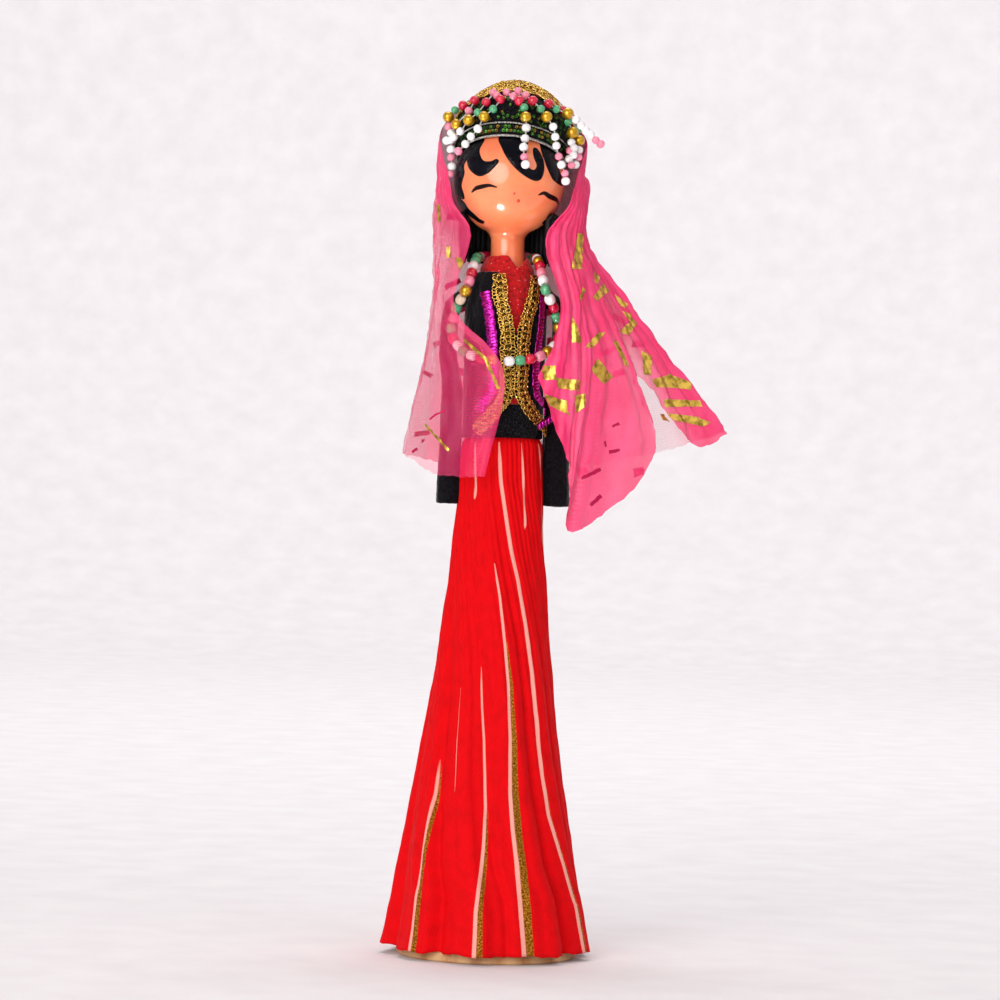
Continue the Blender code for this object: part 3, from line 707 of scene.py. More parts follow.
@dataclass(frozen=True)
class Organza:
    """Nylon organza, dyed hot pink: stiff, sheer plain weave that lets the things behind through.

    More threads lie along the light where the cloth is gathered, so it is denser there. The
    threads are drawn coarser than the real fifth of a millimetre, which would not show.
    """

    pink: str = "#F01E66"
    pale: str = "#FA4280"
    thread_mm: float = 0.55

    def material(self) -> Finish:
        """Make the material."""
        surface = Surface("pink_nylon_organza", Roughness=0.42, Sheen_Weight=0.25, Sheen_Roughness=0.3)
        cloth = surface.add("UVMap", uv_map="cloth")
        cloud = surface.add("TexNoise", {"Scale": 0.12, "Detail": 4.0}, {"Vector": cloth}, "Fac")
        surface.add("ValToRGB", links={"Fac": cloud}, to="Base Color",
                    stops=[(0.35, self.pink), (0.7, self.pale)])
        weave = surface.weave(cloth, self.thread_mm, 0.5, "MAXIMUM")
        spread = surface.add("MapRange", {"To Min": -0.05, "To Max": 0.05}, {"Value": weave})
        cover = surface.add("Attribute", out="Fac", attribute_name="cover")
        surface.add("Math", links={0: cover, 1: spread}, to="Alpha", operation="ADD", use_clamp=True)
        surface.add("Bump", {"Distance": 0.05 * MM, "Strength": 0.4}, {"Height": weave}, to="Normal")
        return surface.made


@dataclass(frozen=True)
class FoilPrint:
    """Gold hot-stamped foil: thin, bright and a little crazed where the cloth has bent."""

    bright: str = "#E3BC52"
    dull: str = "#94762A"

    def material(self) -> Finish:
        """Make the material."""
        surface = Surface("gold_foil_print", Roughness=0.34, Metallic=0.85)
        wear = surface.mottle(520.0, 4.0, [(0.36, self.dull), (0.58, self.bright)])
        surface.add("Bump", {"Distance": 0.05 * MM, "Strength": 0.5}, {"Height": wear}, to="Normal")
        return surface.made


@dataclass(frozen=True)
class StudioPaper:
    """Matte seamless paper: even and pale, with a trace of fibre."""

    colour: str = "#F5F3F4"
    fibre: str = "#ECE8EA"

    def material(self) -> Finish:
        """Make the material."""
        surface = Surface("seamless_paper", Roughness=0.85)
        surface.mottle(40.0, 5.0, [(0.2, self.fibre), (0.8, self.colour)])
        return surface.made


# The bright and dark colours of each thread are the painted highlight and painted shade of its dashes.
GOLD_THREAD = MetallisedThread("gold_metallised_thread", "#FFD873", "#A8761C", 0.27)
SILVER_THREAD = MetallisedThread("silver_metallised_thread", "#DAD8D2", "#77746E")
MAGENTA_FOIL = MetallisedThread("magenta_metallised_thread", "#E03AC0", "#8A0E66", 0.26, 0.9)


@dataclass(frozen=True)
class Wood:
    """Turned figure: its sizes and its radius at any height, in metres."""

    foot_radius: float = 0.031
    waist_radius: float = 0.0108
    waist_z: float = 0.1765
    chest_radius: float = 0.0114
    chest_z: float = 0.218
    neck_radius: float = 0.0058
    neck_base_z: float = 0.2345
    neck_fillet: float = 0.004
    head_radius: float = 0.019
    head_z: float = 0.265
    foot_edge: float = 0.0012
    flare_power: float = 1.6
    lacquer_z: float = 0.1865
    sides: int = 96
    paint_lift: float = 0.00007

    def flare(self, z: float) -> float:
        """Share of the way from waist to foot at a height."""
        return max(0.0, 1.0 - z / self.waist_z) ** self.flare_power

    def trunk(self, z: float) -> float:
        """Radius of shoulders, chest, waist and foot at a height."""
        if z >= self.chest_z:
            share = min(1.0, (z - self.chest_z) / (self.neck_base_z - self.chest_z))
            return self.neck_radius + (self.chest_radius - self.neck_radius) * math.sqrt(1 - share ** 2)
        if z >= self.waist_z:
            share = (z - self.waist_z) / (self.chest_z - self.waist_z)
            return self.waist_radius + (self.chest_radius - self.waist_radius) * share
        return self.waist_radius + (self.foot_radius - self.waist_radius) * self.flare(z)

    def ball(self, z: float) -> float:
        """Radius of the head at a height."""
        return math.sqrt(max(0.0, self.head_radius ** 2 - (z - self.head_z) ** 2))

    def on_head(self, lon: float, lat: float, lift: float) -> Vector:
        """Point over the head.

        Args:
            lon: Degrees from the front towards +X.
            lat: Degrees above the ball's middle.
            lift: Height over the lacquer, in metres.

        Returns:
            The point.
        """
        east, north = math.radians(lon), math.radians(lat)
        out = Vector((math.sin(east) * math.cos(north), -math.cos(east) * math.cos(north), math.sin(north)))
        return Vector((0.0, 0.0, self.head_z)) + out * (self.head_radius + lift)

    def profile(self) -> list[tuple[float, float]]:
        """Outer radius and height from the crown down to the foot's underside."""
        reach = self.head_radius + self.neck_fillet
        ring = self.neck_radius + self.neck_fillet
        drop = math.sqrt(reach ** 2 - ring ** 2)
        meet = math.atan2(ring, drop)
        points = []
        for i in range(1, 61):
            angle = (math.pi - meet) * i / 60
            points.append((self.head_radius * math.sin(angle),
                           self.head_z + self.head_radius * math.cos(angle)))
        for i in range(1, 11):
            angle = meet + (math.pi / 2 - meet) * i / 10
            points.append((ring - self.neck_fillet * math.sin(angle),
                           self.head_z - drop + self.neck_fillet * math.cos(angle)))
        for z in np.linspace(self.neck_base_z, self.chest_z, 16):
            points.append((self.trunk(z), z))
        for z in np.linspace(self.chest_z, self.foot_edge, 60)[1:]:
            points.append((self.trunk(z), z))
        for i in range(1, 5):
            angle = math.pi / 2 * i / 4
            edge = self.foot_edge * 0.6
            points.append((self.foot_radius - edge * (1 - math.cos(angle)),
                           self.foot_edge - self.foot_edge * math.sin(angle)))
        return points + [(self.foot_radius * 0.5, 0.0)]

    def build_figure(self) -> None:
        """Turn the figure and dress head and trunk."""
        mesher = Mesher()
        profile = self.profile()
        mesher.grid(lathe(profile, self.sides)[::-1], wrap=True)
        top, bottom = (0.0, 0.0, self.head_z + self.head_radius), (0.0, 0.0, 0.0)
        last = (len(profile) - 1) * self.sides
        mesher.add(np.array([top, bottom]), [])
        for i in range(self.sides):
            after = (i + 1) % self.sides
            mesher.faces.append((last + i, last + after, mesher.count - 2))
            mesher.faces.append((after, i, mesher.count - 1))
            mesher.finishes += [0, 0]
        piece = mesher.piece("wooden_figure_turned", [SkinLacquer().material(), RawBeech().material()])
        for polygon in piece.data.polygons:
            polygon.material_index = int(polygon.center.z < self.lacquer_z)
        settle(piece, Slot.WOOD, "wooden_figure")


@dataclass(frozen=True)
class FacePaint:
    """Hair locks, closed eyes and nose dots painted on the head, in degrees over the ball."""

    wood: Wood
    spacing: float = 4.0
    thickness: float = 0.00012
    dots: tuple[tuple[float, float, float], ...] = ((5.5, -17.5, 1.3), (10.5, -25.0, 1.9))

    def locks(self) -> dict[str, list[tuple[float, float]]]:
        """Outlines of the painted hair, as (longitude, latitude) from the front."""
        return {
            "back": [(86, 40), (87, 18), (96, 4), (93, -14), (95, -28), (88, -38), (98, -47), (140, -50),
                     (180, -50), (220, -50), (262, -50), (274, -44), (279, -36), (271, -26), (270, -12),
                     (268, 12), (276, 30), (262, 48), (180, 52), (98, 52)],
            "side": [(-96, 34), (-93, 4), (-92, -11), (-80, -18), (-62, -23), (-58, -18), (-60, -9),
                     (-57, -3), (-54, 4), (-57, 12), (-54, 19), (-50, 30), (-46, 42), (-70, 44)],
            "hook": [(-60, 34), (-54, 17), (-46, 7), (-34, 0), (-24, 2), (-17, 8), (-12, 15), (-15, 18),
                     (-21, 15.5), (-29, 16), (-35, 22), (-39, 30), (-39, 42), (-50, 46)],
            "centre": [(-18, 48), (-10, 30), (-2, 17), (7, 7), (17, 0), (27, -3.5), (34, -1), (38, 8),
                       (39, 18), (37, 27), (33, 33), (28, 31.5), (26.5, 22), (29, 13), (26, 8), (21, 9),
                       (17, 14), (18, 24), (22, 36), (28, 52), (6, 56)],
            "right": [(52, 52), (43, 41), (39, 29), (40.5, 17), (44, 8), (50, 0), (59, -3.5), (69, -5),
                      (78, -3), (71, 3), (65, 10), (67, 22), (74, 34), (88, 44), (74, 54)],
            "left_curl": [(-64, -25), (-60, -33), (-54, -40), (-49, -47), (-43, -51), (-50, -54),
                          (-58, -52), (-68, -44), (-78, -34), (-88, -22), (-78, -19)],
            "right_curl": [(84, -33), (80, -39), (73, -43), (66, -47), (72, -50), (84, -50), (96, -46),
                           (97, -36)],
        }

    def strokes(self) -> dict[str, tuple[list[tuple[float, float]], float]]:
        """Centre lines of the closed eyes, with the widest half width in degrees."""
        return {
            "left_eye": ([(-44.5, -16.5), (-38, -12.5), (-30, -10.8), (-21, -9.6), (-13, -11.5)], 2.3),
            "right_eye": ([(33, -17.5), (40, -15), (50, -18), (66, -20.5), (78, -24.5)], 2.5),
        }

    def smooth_outline(self, points: Sequence[tuple[float, float]]) -> np.ndarray:
        """Round a closed outline.

        Args:
            points: Its corners, in order.

        Returns:
            Points on a closed smooth curve through them.
        """
        ring = list(points[-2:]) + list(points) + list(points[:3])
        steps = 5
        share = np.linspace(2, len(points) + 2, len(points) * steps + 1)[:-1] / (len(ring) - 1)
        return spline_weights(len(ring), share) @ np.array(ring, dtype=float)

    def stroke_outline(self, line: Sequence[tuple[float, float]], half: float) -> np.ndarray:
        """Outline of a brush stroke that tapers at both ends.

        Args:
            line: Its centre line.
            half: Its widest half width.

        Returns:
            Points round the stroke.
        """
        path = smooth_path(line, 18)
        ahead = directions(path)
        across = np.stack([-ahead[:, 1], ahead[:, 0]], axis=1)
        share = np.linspace(0, 1, len(path))
        wide = half * (0.25 + 0.75 * np.sin(np.pi * share ** 0.8))[:, None]
        return np.concatenate([path - across * wide, (path + across * wide)[::-1]])

    def fill(self, mesher: Mesher, outline: np.ndarray, finish: int) -> None:
        """Fill an outline with faces that follow the ball.

        Args:
            mesher: Piece that gets the faces.
            outline: Points round the shape, in degrees.
            finish: Number of the paint.
        """
        low, high = outline.min(axis=0), outline.max(axis=0)
        inner = [Vector((x, y)) for x in np.arange(low[0], high[0], self.spacing)
                 for y in np.arange(low[1], high[1], self.spacing)]
        rim = [Vector(p) for p in outline]
        points, _, faces, _, _, _ = delaunay_2d_cdt(rim + inner, [], [list(range(len(rim)))], 1, 1e-5)
        used = sorted({i for face in faces for i in face})
        number = {old: new for new, old in enumerate(used)}
        where = np.array([self.wood.on_head(points[i].x, points[i].y, self.wood.paint_lift) for i in used])
        mesher.add(where, [tuple(number[i] for i in face) for face in faces], finish)

    def build(self) -> None:
        """Paint the hair, the eyes and the nose dots."""
        mesher = Mesher()
        for outline in self.locks().values():
            self.fill(mesher, self.smooth_outline(outline), 0)
        for line, half in self.strokes().values():
            self.fill(mesher, self.stroke_outline(line, half), 1)
        for lon, lat, size in self.dots:
            turn = np.linspace(0, 2 * math.pi, 14)[:-1]
            spot = np.stack([lon + size * np.cos(turn), lat + size * np.sin(turn)], axis=1)
            self.fill(mesher, spot, 2)
        piece = mesher.piece("painted_hair_and_face", [
            BrushEnamel("black_hair_enamel", "#06070F").material(),
            BrushEnamel("brown_eye_enamel", "#170605", 0.3).material(),
            BrushEnamel("red_dot_enamel", "#D8453A", 0.3).material()])
        thicken(piece, self.thickness)
        settle(piece, Slot.WOOD)


@dataclass(frozen=True)
class Stripe:
    """One woven stripe: its route in degrees from the front and mm of height, and its widths.

    The gold lies beside the pink from a height down, and both widen towards the hem.
    """

    route: tuple[tuple[float, float], ...]
    gold_from_mm: float = -50.0
    gold_hem_mm: float = 2.0
    pink_top_mm: float = 0.8
    pink_hem_mm: float = 1.4


@dataclass(frozen=True)
class Skirt:
    """Long gathered skirt of striped cotton, twisted a little round the foot."""

    wood: Wood
    hem_radius: float = 0.0357
    waist_radius: float = 0.0137
    hem_z: float = 0.003
    cloth: float = 0.0005
    sway: float = 0.0017
    fold_hem: float = 0.0018
    fold_waist: float = 0.00035
    twist_degrees: float = 67.0
    crumple: float = 0.0003
    ragged: float = 0.0006
    tuck: float = 0.0013
    tuck_rise: float = 0.0006
    around: int = 320
    along: int = 120
    creases: tuple[tuple[float, float, float], ...] = (
        (-31, 4.0, 2.2), (-72, 5.0, 1.1), (12, 3.0, 1.0), (52, 4.0, 1.2), (84, 4.0, 1.3),
        (128, 4.0, 1.4), (200, 5.0, 1.5), (246, 4.0, 1.2))
    stripes: tuple[Stripe, ...] = (
        Stripe(((-3.8, 175), (0.4, 162), (8.9, 150), (16.5, 139), (26.2, 128), (35.2, 114), (42.6, 98),
                (45.8, 81), (47.3, 63), (50.4, 49), (58.1, 34), (65.8, 19), (67.5, 3)), 60, 1.0, 1.2),
        Stripe(((-3.5, 134), (4.2, 123), (8.4, 114), (12.1, 105), (15.8, 93), (17.2, 75), (16.2, 57),
                (17.2, 45), (19.1, 34), (20.5, 20), (21.5, 3)), 108, 2.6, 0.7, 1.7),
        Stripe(((-12.0, 99), (-8.6, 86), (-5.5, 75), (-3.6, 63), (-2.4, 52), (-3.1, 40), (-4.8, 29),
                (-6.6, 18), (-6.5, 3)), 52, 2.5, 0.5, 1.5),
        Stripe(((-48.2, 67), (-47.3, 56), (-47.8, 46), (-48.6, 34), (-48.4, 22), (-46.7, 3)), 66, 2.0,
               0.7, 1.1),
        Stripe(((-30.3, 92), (-28.7, 74), (-26.7, 60)), pink_top_mm=0.3, pink_hem_mm=0.3),
        Stripe(((29.7, 175), (33.4, 163), (36.2, 150)), pink_hem_mm=0.7),
        Stripe(((-42.8, 175), (-36.1, 160)), pink_hem_mm=0.7),
        Stripe(((70.0, 175), (100.0, 120), (104.0, 60), (108.0, 3)), 80),
        Stripe(((96.0, 175), (130.0, 110), (140.0, 50), (146.0, 3)), 120),
        Stripe(((150.0, 150), (170.0, 90), (184.0, 3)), 75),
        Stripe(((190.0, 175), (214.0, 100), (222.0, 3)), 110),
        Stripe(((240.0, 140), (256.0, 70), (260.0, 3)), 60))

    def turned(self, z_mm: np.ndarray) -> np.ndarray:
        """Share of the twist that is done at a height in millimetres, from 0 at the waist."""
        heights = (8, 21, 33, 46, 55, 72, 89, 109, 124, 136, 148, 162, 176)
        shares = (1.0, 0.985, 0.88, 0.84, 0.80, 0.76, 0.73, 0.61, 0.45, 0.30, 0.18, 0.04, 0.0)
        return np.interp(z_mm, heights, shares)

    def folds(self, hem_turn: np.ndarray, low: np.ndarray) -> np.ndarray:
        """Relief of the folds.

        Args:
            hem_turn: Angle at the hem of the thread through each point, in radians.
            low: Share of the way down, from 0 at the waist to 1 at the hem.

        Returns:
            Height from about -1 to 1.
        """
        wide = 0.62 * np.cos(9 * hem_turn + 0.8) + 0.36 * np.cos(14 * hem_turn + 2.0)
        fine = 0.2 * np.cos(23 * hem_turn + 1.1) + 0.07 * np.cos(37 * hem_turn + 0.3)
        gathers = 0.7 * np.cos(46 * hem_turn + 2.0 * np.cos(3 * hem_turn))
        deep = 0.0
        for degrees, width, depth in self.creases:
            off = np.degrees(np.arctan2(np.sin(hem_turn - math.radians(degrees)),
                                        np.cos(hem_turn - math.radians(degrees))))
            deep = deep - depth * np.exp(-(off / width) ** 2)
        return wide + fine + gathers * (1 - low) ** 2 + deep * np.clip(low * 1.6, 0, 1)

    def build(self) -> None:
        hem_turn, v = np.meshgrid(2 * math.pi * np.arange(self.around + 1) / self.around,
                                  np.linspace(0, 1, self.along))
        z = self.hem_z + (self.wood.waist_z - GAP - self.hem_z) * v
        flare = np.maximum(0.0, 1.0 - z / self.wood.waist_z) ** self.wood.flare_power
        turn = hem_turn - math.radians(self.twist_degrees) * (1 - self.turned(z / MM))
        depth = self.fold_waist + (self.fold_hem - self.fold_waist) * flare
        radius = self.waist_radius + (self.hem_radius - self.waist_radius) * flare
        radius = radius + depth * self.folds(hem_turn, 1 - v)
        rough = np.stack([30 * np.sin(hem_turn), 30 * np.cos(hem_turn), z / MM], axis=-1) * MM
        radius = radius + self.crumple * ruffle(rough * np.array([1, 1, 0.35]), 0.006, 3.0)
        radius = np.maximum(radius, np.vectorize(self.wood.trunk)(z) + self.cloth + GAP)
        ragged = self.ragged * ruffle(rough, 0.005, 9.0) * np.clip(1 - v * 12, 0, 1)
        sway = self.sway * np.sin(np.pi * v) ** 2 * (1 - v)
        tuck = np.clip((v - 0.985) / 0.015, 0, 1)
        radius = radius - self.tuck * tuck ** 2
        net = np.stack([radius * np.sin(turn) - sway, -radius * np.cos(turn),
                        z + ragged + self.tuck_rise * tuck], axis=-1)
        mesher = Mesher()
        mesher.grid(net[:, :-1], wrap=True)
        piece = mesher.piece("skirt_gathered", [StripedCotton().material()])
        self.weave(piece, turn[:, :-1], z[:, :-1], radius[:, :-1])
        width = path_length(net[0])
        length = max(path_length(net[:, i]) for i in range(0, self.around, 20))
        thicken(piece, self.cloth)
        settle(piece, Slot.COTTON, "skirt")
        LOG.info("skirt cut %.0f x %.0f mm", width / MM, length / MM)

    def weave(self, piece: bpy.types.Object, turn: np.ndarray, z: np.ndarray,
              radius: np.ndarray) -> None:
        """Store each point's distance from the stripes and its place on the cloth.

        Args:
            piece: The skirt.
            turn: Angle of each point from the front.
            z: Height of each point.
            radius: Radius of each point.
        """
        far = 50.0
        high = z / MM
        pink, gold = np.full(z.shape, far), np.full(z.shape, far)
        for stripe in self.stripes:
            degrees, heights = np.array(stripe.route).T[:, ::-1]
            off = turn - np.radians(np.interp(high, heights, degrees))
            along = np.arctan2(np.sin(off), np.cos(off)) * radius / MM
            share = np.clip((heights[-1] - high) / max(30.0, heights[-1]), 0, 1)
            half = (stripe.pink_top_mm + (stripe.pink_hem_mm - stripe.pink_top_mm) * share) / 2
            ends = np.clip(high - heights[-1], 0, None) + np.clip(heights[0] - 4 - high, 0, None)
            half = half * np.clip((heights[-1] - high) / 9 + 0.35, 0, 1)
            pink = np.minimum(pink, np.abs(along) - half + ends)
            band = stripe.gold_hem_mm / 2 * np.clip((stripe.gold_from_mm - high) / 70 + 0.15, 0, 1)
            late = np.where(high > stripe.gold_from_mm, far, 0.0)
            gold = np.minimum(gold, np.abs(along - half - band) - band + late)
        store(piece, "pink_mm", pink)
        store(piece, "gold_mm", gold)
        lay_cloth(piece, turn.shape, 2 * math.pi * self.hem_radius / MM, self.wood.waist_z / MM, True)


def lay_cloth(piece: bpy.types.Object, shape: tuple[int, ...], width_mm: float, length_mm: float,
              wrap: bool) -> None:
    """Give a grid its place on the flat cloth, in millimetres, as the UV map named cloth.

    Args:
        piece: The cloth, whose points are a grid in rows.
        shape: Its rows and columns.
        width_mm: Width of the flat cloth.
        length_mm: Length of the flat cloth.
        wrap: Whether the rows close on themselves.
    """
    rows, columns = shape
    data = piece.data
    corner = np.empty(len(data.loops), dtype=np.int64)
    data.loops.foreach_get("vertex_index", corner)
    across, down = corner % columns, corner // columns
    if wrap:
        first = across[np.arange(len(corner)) // 4 * 4]
        across = np.where((across == 0) & (first == columns - 1), columns, across)
        across = np.where((across == 0) & (np.roll(across, 1) == columns - 1), columns, across)
    spots = np.stack([across / columns * width_mm, down / rows * length_mm], axis=1)
    layer = data.uv_layers.new(name="cloth")
    layer.data.foreach_set("uv", spots.astype(np.float32).ravel())


@dataclass(frozen=True)
class UpperClothes:
    """Blouse, jacket and waistband over the trunk."""

    wood: Wood
    blouse_out: float = 0.0012
    jacket_out: float = 0.0027
    hem_flare: float = 0.0005
    band_height: float = 0.0115
    cad_sides: int = 18
    voxel: float = 0.00042
    crumple: float = 0.00032
    pile: float = 0.00008
    sleeve_drop: float = 0.012
    sleeve_blend: float = 0.014
    sleeve_from: float = 0.0156
    sleeve_span: float = 0.0066
    sleeve_inner: float = 0.0128
    sleeve_outer: tuple[float, float] = (0.0209, 0.0226)
    fibres: int = 1500
    fibre_radii: tuple[float, float, float] = (0.00006, 0.00005, 0.00002)
    fibre_reach: tuple[float, float] = (0.0004, 0.0013)

    def jacket_radius(self, z: float) -> float:
        """Outer radius of the jacket at a height."""
        hem_z = self.wood.waist_z + GAP
        low = min(1.0, max(0.0, 1.0 - (z - hem_z) / self.band_height))
        return self.wood.trunk(max(z, hem_z)) + self.jacket_out + self.hem_flare * low

    def remeshed(self, node: str, name: str) -> bpy.types.Object:
        """Remesh a solid finely and round its facets.

        Args:
            node: The solid.
            name: Name of the piece.

        Returns:
            The piece.
        """
        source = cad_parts[node]
        rough = bpy.data.objects.new(f"{name}_rough", source.data.copy())
        bpy.context.scene.collection.objects.link(rough)
        rough.matrix_world = source.matrix_world
        remesh = rough.modifiers.new("Remesh", "REMESH")
        remesh.mode = "VOXEL"
        remesh.voxel_size = self.voxel
        smooth = rough.modifiers.new("Smooth", "SMOOTH")
        smooth.iterations = 6
        data = bpy.data.meshes.new_from_object(rough.evaluated_get(bpy.context.evaluated_depsgraph_get()))
        bpy.data.objects.remove(rough, do_unlink=True)
        points = np.empty(len(data.vertices) * 3)
        data.vertices.foreach_get("co", points)
        points = points.reshape(-1, 3)
        radius = np.hypot(points[:, 0], points[:, 1])
        half = math.pi / self.cad_sides
        turn = np.mod(np.arctan2(points[:, 1], points[:, 0]), 2 * half) - half
        limit = np.array([self.jacket_radius(z) for z in points[:, 2]]) + 2 * GAP
        factor = np.where(radius < limit, np.cos(turn) / math.cos(half), 1.0)
        points[:, :2] *= factor[:, None]
        self.widen_sleeves(points)
        normals = np.empty(len(points) * 3)
        data.vertices.foreach_get("normal", normals)
        stretch = points * np.array([1.0, 1.0, 0.4])
        relief = self.crumple * ruffle(stretch, 0.005, 5.0) + self.pile * ruffle(points, 0.0012, 2.0)
        points += normals.reshape(-1, 3) * relief[:, None]
        data.vertices.foreach_set("co", points.ravel())
        data.update()
        data.shade_smooth()
        data.materials.clear()
        piece = bpy.data.objects.new(name, data)
        bpy.context.scene.collection.objects.link(piece)
        return piece

    def widen_sleeves(self, points: np.ndarray) -> None:
        """Move the hanging sleeves in to the trunk and out to their outline in the photograph."""
        aside, top = np.abs(points[:, 0]), self.wood.chest_z - self.sleeve_drop
        sleeve = (points[:, 2] < top) & (aside > self.sleeve_from)
        outer = np.where(points[:, 0] < 0, *self.sleeve_outer)
        share = (outer - self.sleeve_inner) * (aside - self.sleeve_from) / self.sleeve_span
        blend = np.clip((top - points[:, 2]) / self.sleeve_blend, 0, 1)
        wider = aside + (self.sleeve_inner + share - aside) * blend
        points[:, 0] = np.where(sleeve, np.sign(points[:, 0]) * wider, points[:, 0])

    def build_blouse(self) -> None:
        """Red cotton blouse with its collar points."""
        piece = self.remeshed("blouse", "blouse_cloth")
        piece.data.materials.append(PlainCotton().material())
        settle(piece, Slot.COTTON, "blouse")

    def build_jacket(self) -> None:
        """Velvet jacket with long empty sleeves."""
        piece = self.remeshed("jacket", "jacket_velvet")
        piece.data.materials.append(Pile("black_cotton_velvet").material())
        settle(piece, Slot.VELVET, "jacket")

    def build_waistband(self) -> None:
        """Band of brushed felt with loose fibres that stand off it."""
        draw = random.Random(7)
        low, high = self.wood.waist_z + GAP, self.wood.waist_z + self.band_height
        mesher = Mesher()
        rings = []
        for share in np.linspace(0, 2 * math.pi, 15)[:-1]:
            z = (low + high) / 2 + ((high - low) / 2 + 0.0003) * math.sin(share)
            middle = self.wood.trunk(z) + (self.blouse_out + GAP) / 2
            rings.append((middle + 0.0005 * math.cos(share) * (1 - 0.3 * abs(math.sin(share))), z))
        mesher.grid(lathe(rings, 72), wrap=True, ring=True)
        for _ in range(self.fibres):
            angle = draw.uniform(-1.2, 1.2) + (math.pi if draw.random() < 0.25 else 0.0)
            z = draw.uniform(low, high)
            root = around(self.wood.trunk(z) + self.blouse_out - 0.0001, angle, z)
            out = Vector((math.sin(angle), -math.cos(angle), draw.uniform(-0.8, 0.8)))
            lean = Vector((draw.uniform(-1, 1), draw.uniform(-0.3, 0.3), draw.uniform(-1, 1)))
            reach = draw.uniform(*self.fibre_reach)
            path = [root, root + out * reach * 0.6, root + (out + lean * 0.8) * reach]
            mesher.tube(np.array(path), np.array(self.fibre_radii), 3)
        piece = mesher.piece("waistband_felt", [Pile("black_brushed_felt", sheen=0.2).material()])
        settle(piece, Slot.VELVET, "waistband")


